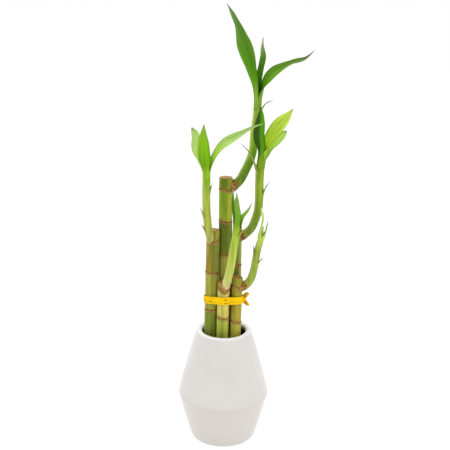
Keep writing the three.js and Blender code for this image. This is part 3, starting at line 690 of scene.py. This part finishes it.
def growCane(name, cane, shoot, seed):
    dice = random.Random(seed)
    foot, head, length = caneEnds(cane)
    scars = [*cane["joints"][:-1], shoot["collar"]]
    low, high, fine = caneLook["nearJoint"]
    marks = [np.linspace(0, length, int(length / caneLook["step"])), [0.3, length - 0.6, length - 0.25]]
    marks += [np.arange(joint + low, joint + high, fine) for joint in cane["joints"]]
    # a pair of rings half way between scars, where the distance to the nearest one changes sign
    marks += [[(a + b) / 2 - 0.01, (a + b) / 2 + 0.01] for a, b in zip(scars, scars[1:])]
    heights = np.unique(np.round(np.clip(np.concatenate(marks), 0, length), 2))
    distance, nearest = aboveJoint(heights, scars)
    inward, upward = caneLook["bevel"]
    bevel = inward * (1 - smoothstep(0, upward, np.minimum(heights, length - heights)))
    between = np.searchsorted(cane["joints"], heights)
    leans = [(math.cos(way), math.sin(way), 0) for way in (dice.uniform(0, 2 * math.pi) for _ in cane["joints"])]
    slants = np.asarray(leans)[nearest] * caneLook["slant"]
    out = unit(np.array([*(np.array(shoot["points"][1]) - shoot["points"][0])[:2], 0]))
    slants[nearest == len(leans) - 1] = out * shoot["dip"]
    stalk = growStem(name, foot + (head - foot) * (heights / length)[:, None], {
        "girth": (cane["radius"] - bevel) * mm - caneLook["sweep"]["Ridge"] * caneLook["sink"],
        "joint": distance,
        "skin": np.array([linearColour(skin)[:3] for skin in cane["skins"]])[between],
        "brown": np.asarray(cane["brown"], float)[between],
        "cut": heights >= length - caneLook["cutDepth"],
        "slant": slants,
    }, {**caneLook["sweep"], "Seed": float(seed), "Material": bark})
    stalk.set_sharp_from_angle(angle=math.radians(caneLook["sharp"]))
    spots, outs = [], []
    for height in cane["joints"]:
        centre = foot + (head - foot) * (height + caneLook["budRise"]) / length
        for _ in range(caneLook["buds"]):
            way = dice.uniform(0, 2 * math.pi)
            outs.append(np.array([math.cos(way), math.sin(way), 0]))
            rise = dice.uniform(*caneLook["budSpread"])
            spots.append(centre + outs[-1] * (cane["radius"] - caneLook["budSink"]) + [0, 0, rise])
    base = meshOf(name + "_spots", spots, (), {"out": outs})
    buds = grow(name + "_buds", base, budTree, {"Size": caneLook["budSize"] * mm, "Seed": seed, "Material": bark})
    for key, value in caneLook["budSkin"].items():
        setNumbers(buds, key, [value] * len(buds.vertices))
    collar = cupMesh(name + "_cup", cane, shoot, seed)
    return joinPieces([addPiece(name, mesh, bark) for mesh in (stalk, buds, collar)])


for seed, (name, cane) in enumerate(canes.items(), 3):
    piece = growCane("cut_cane_" + name, cane, shoots[name], seed)
    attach(piece, "root")
    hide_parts("cane_" + name)
print("canes")

# Leaves: the midrib's points after the sheath, and the directions its upper side faces, the widths and fold
# from base to tip, and the colours. Half is painted light and shade: how much paler one half is and darker the other.

leaves = {
    "tall_1": {
        "turn": 2.5, "fold": (1, 0.35), "half": 0.12,
        "skins": ["#84b024", "#6cae0c", "#5e9e08", "#609a18", "#669a38", "#80ac58"],
        "points": [(21.4, 4, 313), (17.8, 3.2, 328), (12.4, 3, 343), (8.6, 5, 355), (4.5, 7.6, 363.5),
                   (-0.3, 9.6, 372.5)],
        "faces": [(0.5, 0.85, 0), (0.45, 0.9, 0.1), (0.4, 0.9, 0.3), (0.6, 0.7, 0.4), (0.7, 0.5, 0.4)],
        "widths": [6.6, 7, 8, 8.6, 10, 13, 13.6, 9.8, 6.4, 5.2, 0.6],
    },
    "tall_2": {
        "turn": 0.3, "fold": (1, 0.5), "half": 0.1,
        "skins": ["#68a01c", "#6cac10", "#72a82c", "#6a943a", "#808c5c"],
        "points": [(30.8, 5.6, 309.5), (35.4, 3.4, 317.4), (41, 0.4, 322.2), (51, -3.2, 328.2), (61.6, -5.6, 331.7),
                   (68.4, -7, 338)],
        "faces": [(-0.8, -0.6, 0.2), (-0.5, -0.7, 0.5), (-0.4, -0.75, 0.6), (-0.4, -0.7, 0.6), (-0.6, -0.5, 0.6)],
        "widths": [7, 7, 7.2, 8.6, 10.6, 11, 7.8, 4.8, 4.6, 2.4, 0.5],
    },
    "tall_3": {
        "turn": -1.8, "fold": (1, 1), "skins": ["#2c6400", "#2c6400", "#509408", "#7eac38", "#c8ceac"],
        "points": [(26.6, 9.6, 312), (28.8, 9.8, 322), (29.9, 9.2, 331), (28.6, 8.4, 340), (28.9, 8, 347)],
        "faces": [(-0.6, -0.8, 0), (-0.8, -0.6, 0), (-0.5, -0.9, 0), (-0.5, -0.9, 0)],
        "widths": [6.6, 6.6, 6.4, 6.8, 7.8, 8.6, 8.6, 7.6, 5.2, 2.4, 0.5],
    },
    "left_1": {
        "turn": 1.6, "fold": (1, 0.4), "skins": ["#78ac00", "#80bc00", "#98cc18", "#a0c840"],
        "points": [(-16.9, -9.2, 249), (-17.9, -9, 261), (-18.1, -8, 271), (-17.7, -7, 279.5)],
        "faces": [(0, 1, 0), (0, 1, 0.1), (0.1, 1, 0.1)],
        "widths": [7, 7, 6.8, 9, 10.4, 10.4, 10, 8.8, 6.3, 3.5, 0.6],
    },
    "left_2": {
        "turn": 3.7, "fold": (1, 0.3), "skins": ["#d8ec90", "#dcf094", "#d8ee9c", "#a8d068"],
        "points": [(-21.5, -1.4, 249), (-23.8, 1, 257.5), (-24.3, 3.5, 266), (-25.8, 5.5, 270.6), (-28.3, 7, 274.8)],
        "faces": [(0.7, -0.7, 0.3), (0.5, -0.7, 0.6), (0.4, -0.7, 0.5)],
        "widths": [7, 7.4, 7.6, 7.6, 8.4, 12, 12.4, 10.6, 8.6, 6.4, 1.6],
    },
    "left_3": {
        "turn": -0.5, "fold": (1, 0.4), "half": 0.05,
        "skins": ["#a0d02c", "#b4da50", "#c0e07c", "#b4d484", "#9cc05e"],
        "points": [(-9.9, -5.8, 250.6), (-3.4, -8.2, 262), (8.6, -10.6, 270.8), (18.5, -11.6, 276.7),
                   (25.3, -12, 279.7), (31.7, -12, 281.5)],
        "faces": [(-0.7, -0.6, 0.3), (-0.4, -0.85, 0.4), (-0.3, -0.9, 0.4), (-0.3, -0.8, 0.5)],
        "widths": [7, 7.4, 7.6, 7.6, 8.6, 9, 7.8, 5, 2.8, 1.6, 0.5],
    },
    "front_1": {
        "turn": 3.6, "fold": (1, 0.6), "skins": ["#649400", "#70a408", "#74a814"],
        "points": [(7, -9.4, 205), (5.9, -8, 214), (6.6, -6.6, 225.5)],
        "faces": [(0.8, -0.5, 0), (0.7, -0.6, 0.2)],
        "widths": [6.6, 6.6, 6.2, 5.6, 5.6, 5.6, 5.4, 4.6, 3.4, 1.8, 0.5],
    },
    "front_2": {
        "turn": 1.5, "fold": (1, 0.8), "skins": ["#84b820", "#8cbc38", "#98b058"],
        "points": [(10.4, -13.8, 205), (9.4, -13.2, 214), (9.4, -12.2, 225)],
        "faces": [(0.2, 1, 0), (0.1, 1, 0)],
        "widths": [6.6, 6.6, 6.4, 6, 6, 6, 5.8, 5.2, 4.4, 1.8, 0.5],
    },
    "front_3": {
        "turn": -0.6, "fold": (1, 0.6), "skins": ["#94c82c", "#9cc844", "#9cbc60"],
        "points": [(14.6, -13, 203.5), (18.8, -15.2, 210.4), (22, -16.6, 217.8)],
        "faces": [(-0.7, -0.3, 0.6), (-0.6, -0.4, 0.7)],
        "widths": [6.6, 7, 7.4, 7.4, 7, 6.4, 5.6, 4.6, 3.4, 1.8, 0.5],
    },
    "right_1": {
        "turn": 3.2, "fold": (1.4, 0.8), "skins": ["#c4dc70", "#dcec94", "#dcec94"],
        "points": [(31, -5.6, 199.5), (29.4, -5, 211.8)],
        "faces": [(0.8, -0.5, 0), (0.7, -0.6, 0)],
        "widths": [5.6, 5.6, 5.4, 5, 5, 4.8, 4.4, 4, 3.2, 2, 0.5],
    },
    "right_2": {
        "turn": 0.1, "fold": (1.4, 0.8), "skins": ["#a8c448", "#a0c040", "#8cb038"],
        "points": [(34.8, -7, 193.6), (35.6, -8.2, 200.4)],
        "faces": [(-0.8, 0.4, 0.2), (-0.8, 0.4, 0.2)],
        "widths": [5.6, 5.6, 5.4, 5.2, 4.6, 3.6, 2.8, 2.2, 1.8, 1.2, 0.5],
    },
    "back_1": {
        "turn": 2.2, "fold": (1, 0.9), "half": -0.58,
        "skins": ["#4e8200", "#4e8600", "#509000"],
        "points": [(28.2, -3.2, 260), (27.2, -2.6, 270), (27.6, -1.6, 281), (28.2, -0.6, 292.5)],
        "faces": [(-0.1, 1, 0), (0, 1, 0), (0.2, 1, 0.1)],
        "widths": [7.5, 7.5, 7.3, 8, 9.5, 10.5, 10.5, 9.5, 7.5, 5, 0.8],
    },
    "back_2": {
        "turn": 0.4, "fold": (1, 0.35), "skins": ["#b8dc34", "#b8d834", "#bcdc40", "#c8e050", "#d2e266"],
        "points": [(34.4, -2, 263.5), (40.1, -4.6, 275), (46.9, -7, 283.6), (53.2, -8.4, 292.6)],
        "faces": [(-0.7, -0.6, 0.2), (-0.6, -0.7, 0.4), (-0.5, -0.8, 0.5), (-0.5, -0.8, 0.4)],
        "widths": [7.5, 7.5, 7.5, 9, 12, 13.5, 14, 13.6, 11.2, 6, 0.6],
    },
    "back_3": {
        "turn": -1.6, "fold": (1, 0.35), "half": 0.05,
        "skins": ["#b0d244", "#bede60", "#c4e074"],
        "points": [(34.6, 5.8, 257.5), (40.4, 7.4, 264), (45.8, 9, 268.8), (50.2, 10, 272.2)],
        "faces": [(-0.6, -0.7, 0.5), (-0.4, -0.7, 0.6), (-0.4, -0.7, 0.6)],
        "widths": [7.5, 7.8, 8, 8.2, 8.8, 10.4, 12, 12.6, 11.6, 8.8, 1.6],
    },
}
blade = {
    "solidRib": 0.9,  # mm, the thickness that the sheaths leave room for
    "thick": 0.34,
    "rib": 0.32,  # how far the midrib stands out below
    "groove": 0.14,
    "edge": 0.1,
    "tip": 0.3,
    "ribWidth": 0.55,
    "slim": 1.5,  # half width under which it gets thinner
    "clasped": (0.04, 0.28),  # shares of the length over which a blade leaves the stem, and its colour
    "greened": (0.08, 0.3),
    "folded": (0.05, 0.5),  # and over which its fold changes and its waves begin
    "waved": (0.2, 0.45),
    "wave": 0.35,  # height of the waves along the edges
    "waveLength": 6.5,
    "waveShifts": (1.7, 0.8),  # radians from one leaf to the next, and either way at its two edges
    "sink": 1.5,  # mm that the sheath starts below the top of the bare stem
    "steps": 64,
    "strips": 22,
    "crowding": 0.94,  # under 1, the rings of points stand closer towards the tip
}


# a smooth line through values spaced evenly from 0 to 1
def valueAt(values, shares):
    values = np.asarray(values, float)
    last = len(values) - 1
    place = np.minimum((shares * last).astype(int), last - 1)
    u = shares * last - place
    a, b, c, d = (values[np.clip(place + k, 0, last)] for k in (-1, 0, 1, 2))
    return b + 0.5 * u * (c - a + u * (2 * a - 5 * b + 4 * c - d + u * (3 * (b - c) + d - a)))


# A thin blade along a midrib, folded like a gutter whose open side is the upper face. Its shape gives the
# widths, the fold at both ends and the radius that it clasps; extra gives more numbers for its points.
def bladeMesh(name, points, faces, shape, steps, strips, wave=0.0, seed=0, extra=None):
    shares = np.linspace(0, 1, steps + 1) ** blade["crowding"]
    centre, along, length = alongCurve(points, shares)
    up = curveAt(faces, shares)
    up = unit(up - (up * along).sum(axis=1, keepdims=True) * along)
    side = np.cross(along, up)
    free = smoothstep(*blade["clasped"], shares)
    half = shape["clasp"] * shape["fold"][0] * (1 - free) + valueAt(shape["widths"], shares) / 2 * free
    half = np.maximum(half, blade["tip"] / 2)
    fold = shape["fold"][0] + (shape["fold"][1] - shape["fold"][0]) * smoothstep(*blade["folded"], shares)
    even = np.linspace(-1, 1, strips + 1)
    s = np.sin(even * math.pi / 2) * 0.5 + even * 0.5
    bendBy = fold[:, None] * s
    radius = (half / fold)[:, None]
    middle = (centre[:, None] + side[:, None] * (radius * np.sin(bendBy))[..., None]
              + up[:, None] * (radius * (1 - np.cos(bendBy)))[..., None])
    normal = up[:, None] * np.cos(bendBy)[..., None] - side[:, None] * np.sin(bendBy)[..., None]
    later, either = blade["waveShifts"]
    phase = shares[:, None] * length / blade["waveLength"] + seed * later + either * np.sign(s)
    ripple = np.sin(phase) * np.abs(s) ** 2
    waved = smoothstep(*blade["waved"], shares) * (half / max(half.max(), 0.1))
    middle = middle + normal * (wave * ripple * waved[:, None])[..., None]
    slim = np.minimum(1, half / blade["slim"])[:, None]
    body = (blade["edge"] + (blade["thick"] - blade["edge"]) * (1 - s**4)) / 2 * slim
    body[:, 0] = body[:, -1] = 0
    rib = np.exp(-((s * half[:, None]) / blade["ribWidth"]) ** 2) * slim
    upper = middle + normal * (body - blade["groove"] * rib)[..., None]
    lower = middle - normal * (body + blade["rib"] * rib)[..., None]
    ring = np.concatenate([upper, lower[:, -2:0:-1]], axis=1)
    across = np.concatenate([s, s[-2:0:-1]])
    rows, count = ring.shape[:2]
    last = (rows - 1) * count
    quads = ringFaces(rows, count)
    # both ends: a triangle at each edge and quads between
    quads += [(0, count - 1, 1), (strips - 1, count - strips + 1, strips)]
    quads += [(last, last + 1, last + count - 1), (last + strips - 1, last + strips, last + count - strips + 1)]
    for j in range(1, strips - 1):
        quads.append((j, count - j, count - j - 1, j + 1))
        quads.append((last + j, last + j + 1, last + count - j - 1, last + count - j))
    numbers = {
        "across": np.tile(across, rows),
        "along": np.repeat(shares, count),
        "reach": np.repeat(shares * length, count),
        "upper": np.tile([1.0] * (strips + 1) + [0.0] * (strips - 1), rows),
    }
    for key, value in (extra or {}).items():
        field = value(shares[:, None], across[None, :])
        numbers[key] = field.reshape(-1, 3) if field.ndim == 3 else field.ravel()
    return meshOf(name, ring.reshape(-1, 3), quads, numbers)


# living leaf: satin, light comes through it, fine parallel veins that meet at both ends
leafSkin, tree = newMaterial("livingLeaf")
skin = addNode(tree, "Attribute", attribute_name="skin").outputs["Color"]
across, along, reach, upperSide, sheath = (
    addNode(tree, "Attribute", attribute_name=key).outputs["Fac"]
    for key in ("across", "along", "reach", "upper", "sheath"))
lengthwise = addNode(tree, "Math", {0: reach, 1: 0.035}, operation="MULTIPLY")
patterns = []
for perHalf, detail in ((14.0, 3), (3.0, 2)):  # veins about 0.5 mm apart, and wider bands
    sideways = addNode(tree, "Math", {0: across, 1: perHalf}, operation="MULTIPLY")
    spot = addNode(tree, "CombineXYZ", {"X": sideways, "Y": lengthwise})
    patterns.append(addNode(tree, "TexNoise", {"Vector": spot, "Scale": 1.0, "Detail": detail}))
veins, bands = patterns
streaked = addNode(tree, "Math", {0: veins, 1: 0.55, 2: 0.725}, operation="MULTIPLY_ADD")
banded = addNode(tree, "MapRange", {"Value": bands, "From Min": 0.35, "From Max": 0.65, "To Min": 0.84, "To Max": 1.16})
shade = addNode(tree, "Math", {0: streaked, 1: banded}, operation="MULTIPLY")
green = addNode(tree, "VectorMath", {0: skin, "Scale": shade}, operation="SCALE")
dusty = addNode(tree, "Math", {0: upperSide, 1: -0.05, 2: 0.05}, operation="MULTIPLY_ADD")
sided = addNode(tree, "Mix", {"Factor": dusty, 6: green, 7: "#a9c47c"})  # a little paler below
# thin brown edges and a withered tip
fromMiddle = addNode(tree, "Math", {0: across}, operation="ABSOLUTE")
edge = addNode(tree, "MapRange", {"Value": fromMiddle, "From Min": 0.88, "From Max": 1.0, "To Max": 0.4})
edged = addNode(tree, "Mix", {"Factor": edge, 6: sided, 7: "#5c5a1c"})
end = addNode(tree, "MapRange", {"Value": along, "From Min": 0.93, "From Max": 0.99, "To Max": 0.6})
tipped = addNode(tree, "Mix", {"Factor": end, 6: edged, 7: "#7f7a5a"})
# no light comes through where the blade clasps the stem
thin = addNode(tree, "Math", {0: sheath, 1: -0.35, 2: 0.35}, operation="MULTIPLY_ADD")
finishMaterial(tree, tipped, (veins, 0.3, 0.25), {"Roughness": 0.42, "IOR": 1.4, "Specular IOR Level": 0.1}, thin)


def outwardFrom(along, turn):
    out = np.array([math.cos(turn), -math.sin(turn), 0])
    return unit(out - along * out.dot(along))


# the small pointed scale that stands off a stem
def bractMesh(name, shoot, bract, seed):
    at, turn, length, lean = bract
    (place,), (along,), _ = alongCurve(shoot["points"], np.array([at]))
    out = outwardFrom(along, turn)
    radius = float(stemGirth(shoot, at))
    look = shootLook["bract"]
    rise, reach = look["bow"]
    start = place + out * (radius - look["sink"])
    middle = start + (along * rise + out * reach * lean) * length
    end = start + (along * math.cos(lean) + out * math.sin(lean)) * length
    shape = {"widths": radius * np.array(look["widths"]), "fold": look["fold"], "clasp": radius}
    skin = blendOf(shoot["skins"], at / shoot["leafy"])
    return bladeMesh(name, [start, middle, end], [-out, -out], shape, look["steps"], look["strips"], seed=seed, extra={
        "skin": lambda shares, across: skin * (1 - look["darker"] * shares + 0 * across)[..., None],
        "joint": lambda shares, across: look["scar"] + 0 * shares * across,  # far from any scar
    })


def growShoot(name, shoot, seed):
    dice = random.Random(seed)
    leafy = shoot["leafy"]
    below, above = shootLook["rings"]
    shares = np.concatenate([np.linspace(0, leafy, below), np.linspace(leafy + 0.02, 1, above)])
    centres, _, length = alongCurve(shoot["points"], shares)
    girth = stemGirth(shoot, shares)
    # above the lowest sheath the stem is a core inside the leaves
    core = (girth - blade["solidRib"] - gap) * (1 - shootLook["coreTaper"] * smoothstep(leafy, 1, shares))
    distance, nearest = aboveJoint(shares * length, np.array(shoot["scars"]) * length)
    leans = [(math.cos(way), math.sin(way), 0) for way in (dice.uniform(0, 6.28) for _ in shoot["scars"])]
    stem = growStem(name, centres, {
        "girth": np.where(shares <= leafy, girth, core) * mm,
        "joint": distance,
        "skin": blendOf(shoot["skins"], shares / leafy),
        "slant": np.asarray(leans)[nearest] * shootLook["slant"],
    }, {**shootLook["sweep"], "Seed": float(seed), "Material": youngStem})
    bracts = [bractMesh(name + "_bract", shoot, bract, index) for index, bract in enumerate(shoot["bracts"])]
    return joinPieces([addPiece(mesh.name, mesh, youngStem) for mesh in (stem, *bracts)])


def growLeaf(name, shoot, leaf, seed):
    _, _, length = alongCurve(shoot["points"], np.array([0.0]))
    leafy = shoot["leafy"]
    start = leafy - blade["sink"] / length
    clasp = float(stemGirth(shoot, leafy)) - blade["thick"] / 2
    places, alongs, _ = alongCurve(shoot["points"], np.array([start, min(start + shoot["sheath"] / length, 1), leafy]))
    sheath = [place + outwardFrom(along, leaf["turn"]) * (clasp + 0.1) for place, along in zip(places[:2], alongs)]
    inward = -outwardFrom(alongs[2], leaf["turn"])
    shape = {**leaf, "clasp": clasp, "fold": (leaf["fold"][0] + 0.15, leaf["fold"][1])}
    stem = np.array(linearColour(shoot["skins"][-1])[:3])

    def freed(shares):  # 0 in the sheath, 1 where the blade is free
        return smoothstep(*blade["greened"], shares)

    def skinOf(shares, across):
        free = freed(shares)[..., None]
        # painted light and shade: one half of the free blade paler, the other darker
        paintedHalves = 1 + leaf.get("half", 0) * np.tanh(8 * across)[..., None] * free
        return (stem + (blendOf(leaf["skins"], shares) - stem) * free) * paintedHalves

    extra = {"skin": skinOf, "sheath": lambda shares, across: 1 - freed(shares) + 0 * across}
    return bladeMesh(name, [*sheath, *leaf["points"]], [inward, inward, *leaf["faces"]], shape,
                     blade["steps"], blade["strips"], blade["wave"], seed, extra)


for seed, (name, shoot) in enumerate(shoots.items(), 20):
    piece = growShoot("stem_" + name, shoot, seed)
    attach(piece, "root")
    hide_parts("shoot_" + name)
for seed, (name, leaf) in enumerate(leaves.items(), 40):
    shoot = shoots[name.split("_")[0]]
    piece = addPiece("blade_" + name, growLeaf("blade_" + name, shoot, leaf, seed), leafSkin)
    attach(piece, "root")
    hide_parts("leaf_" + name)
print("shoots and leaves")

# tie: satin ribbon wound twice round the bunch and knotted at the right

tie = {
    "height": 127.6,
    "tilt": 0.2,
    "thickness": 0.4,
    "wraps": [{"rise": 1.25, "width": 4.9, "layer": 0.35, "sway": 0.45, "phase": 0.6},
              {"rise": -1.55, "width": 4.3, "layer": 0.0, "sway": 0.35, "phase": 2.9}],
    "wrapSides": (180, 12),
    "wrinkle": (0.3, 0.22),  # mm high, and how many in a mm
    "creases": (0.12, 9),  # mm high, and how closely they lie across the band
    "proud": 0.15,
    "knot": (17, -4.4, 129.2),
    "knotSize": (1.7, 1.9, 2.6),
    "knotSides": (28, 36),
    "knotFolds": (0.16, 5, 3),  # share of the size, how many round it, and how far they wind
    "knotLumps": (0.22, 2.3),  # share of the size, and how close together
    "tails": [
        [(17.2, -4.8, 130.4), (18.7, -5.2, 133.6), (21.4, -5.4, 134.6)],
        [(17.2, -4.8, 128.4), (18.8, -5.6, 125.6), (21.2, -6, 123.8)],
    ],
    "tailShape": {"widths": [3.2, 3.6, 4, 4.3, 4.4, 4.3, 4.1, 3.9, 3.6, 3.2, 2.2], "fold": (0.7, 0.5), "clasp": 2.24},
    "tailFaces": [(0, 1, 0.2), (0.3, 1, 0), (0, 1, 0.4)],
    "tailSides": (20, 12),
    "tailWave": 0.5,
}

# Satin ribbon, shiny along its threads, with painted shade in its creases. The weave is about 0.25 mm, drawn
# twice as coarse to show.
satin, tree = newMaterial("satinRibbon")
place = addNode(tree, "TexCoord").outputs["Object"]
stretched = addNode(tree, "Mapping", {"Vector": place, "Scale": (0.12, 0.12, 1)})
thread, fold, cloth = (addNode(tree, "TexNoise", {"Vector": vector, "Scale": 1 / (size * mm), "Detail": 2})
                       for vector, size in ((stretched, 0.5), (stretched, 1.5), (place, 3)))
mixed = addNode(tree, "Math", {0: cloth, 1: fold}, operation="ADD")
folded = addNode(tree, "Math", {0: mixed, 1: 0.5}, operation="MULTIPLY")
# painted shade: brown where the cloth and fold patterns run low, for the creases
colour = addNode(tree, "ValToRGB", {"Fac": folded}, [
    (0.34, "#7a4a00"), (0.6, "#f2ca00"), (0.38, "#c88e00"), (0.44, "#eaba00")])
# painted shade in the trough of each tail
worn = addNode(tree, "Attribute", attribute_name="worn").outputs["Fac"]
shadedSatin = addNode(tree, "Mix", {"Factor": worn, 6: colour, 7: "#7c4806"})
finishMaterial(tree, shadedSatin, (thread, 0.3, 0.2), {"Roughness": 0.45, "Specular IOR Level": 0.08})


# the tight outline round the canes at the tie's height, standing off them by an amount
def bunchOutline(offset, angles):
    outline = []
    for out in np.stack([np.cos(angles), np.sin(angles)], axis=1):
        reached = []
        for cane in canes.values():
            share = (tie["height"] - vase["floor"]) / (cane["head"][2] - vase["floor"])
            centre = np.array(cane["foot"]) * (1 - share) + np.array(cane["head"][:2]) * share
            reached.append(centre + out * (cane["radius"] + offset))
        outline.append(max(reached, key=lambda point: point.dot(out)))
    return outline


def wrapMesh(name, wrap):
    directions, strips = tie["wrapSides"]
    (high, often), (crease, closely) = tie["wrinkle"], tie["creases"]
    angles = circleAngles(directions)
    points = []
    for angle, spot in zip(angles, bunchOutline(gap + wrap["layer"], angles)):
        out = np.array([math.cos(angle), math.sin(angle)])
        level = tie["height"] - tie["tilt"] * spot[1] + wrap["rise"] + wrap["sway"] * math.sin(angle + wrap["phase"])
        # out over the outer face and back over the inner one
        for j in [*range(strips + 1), *range(-strips - 1, 0)]:
            s = 2 * (j if j >= 0 else -1 - j) / strips - 1
            crumple = noise.noise(Vector((spot[0] * often, spot[1] * often, s * 1.6 + wrap["phase"] * 5)))
            fold = high * crumple + crease * math.cos(s * closely + crumple * 4)
            stand = max(fold, -0.1) + (j >= 0) * tie["thickness"] * (1 - 0.6 * s**6) + tie["proud"]
            points.append((*(spot + out * stand), level + s * wrap["width"] / 2))
    faces = ringFaces(directions + 1, 2 * (strips + 1))
    return meshOf(name, points, [tuple(k % len(points) for k in reversed(face)) for face in faces])


def knotMesh(name):
    rows, sides = tie["knotSides"]
    (fold, folds, wind), (lump, closely) = tie["knotFolds"], tie["knotLumps"]
    points = []
    for polar in math.pi * np.arange(1, rows) / rows:
        for angle in circleAngles(sides):
            out = Vector((math.sin(polar) * math.cos(angle), math.sin(polar) * math.sin(angle), -math.cos(polar)))
            crumple = 1 + fold * math.sin(folds * angle + wind * out.z) + lump * noise.noise(out * closely)
            points.append([c + o * size * crumple for c, o, size in zip(tie["knot"], out, tie["knotSize"])])
    points += [(*tie["knot"][:2], tie["knot"][2] + way * tie["knotSize"][2]) for way in (-1, 1)]
    return meshOf(name, points, ballFaces(rows - 1, sides))


def tailMesh(name, points, seed):
    # with painted shade down the middle of its trough, fading towards its end
    return bladeMesh(name, points, tie["tailFaces"], tie["tailShape"], *tie["tailSides"], tie["tailWave"], seed, {
        "worn": lambda shares, across: 0.8 * (1 - across**2) * (1 - 0.6 * smoothstep(0.3, 0.9, shares)),
    })


parts = [addPiece("ribbon_tie", wrapMesh("wrap", wrap), satin) for wrap in tie["wraps"]]
parts.append(addPiece("ribbon_knot", knotMesh("ribbon_knot"), satin))
for seed, points in enumerate(tie["tails"]):
    parts.append(addPiece("ribbon_tail", tailMesh("ribbon_tail", points, seed), satin))
piece = joinPieces(parts)
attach(piece, "root")
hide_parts("tie")
print("tie")
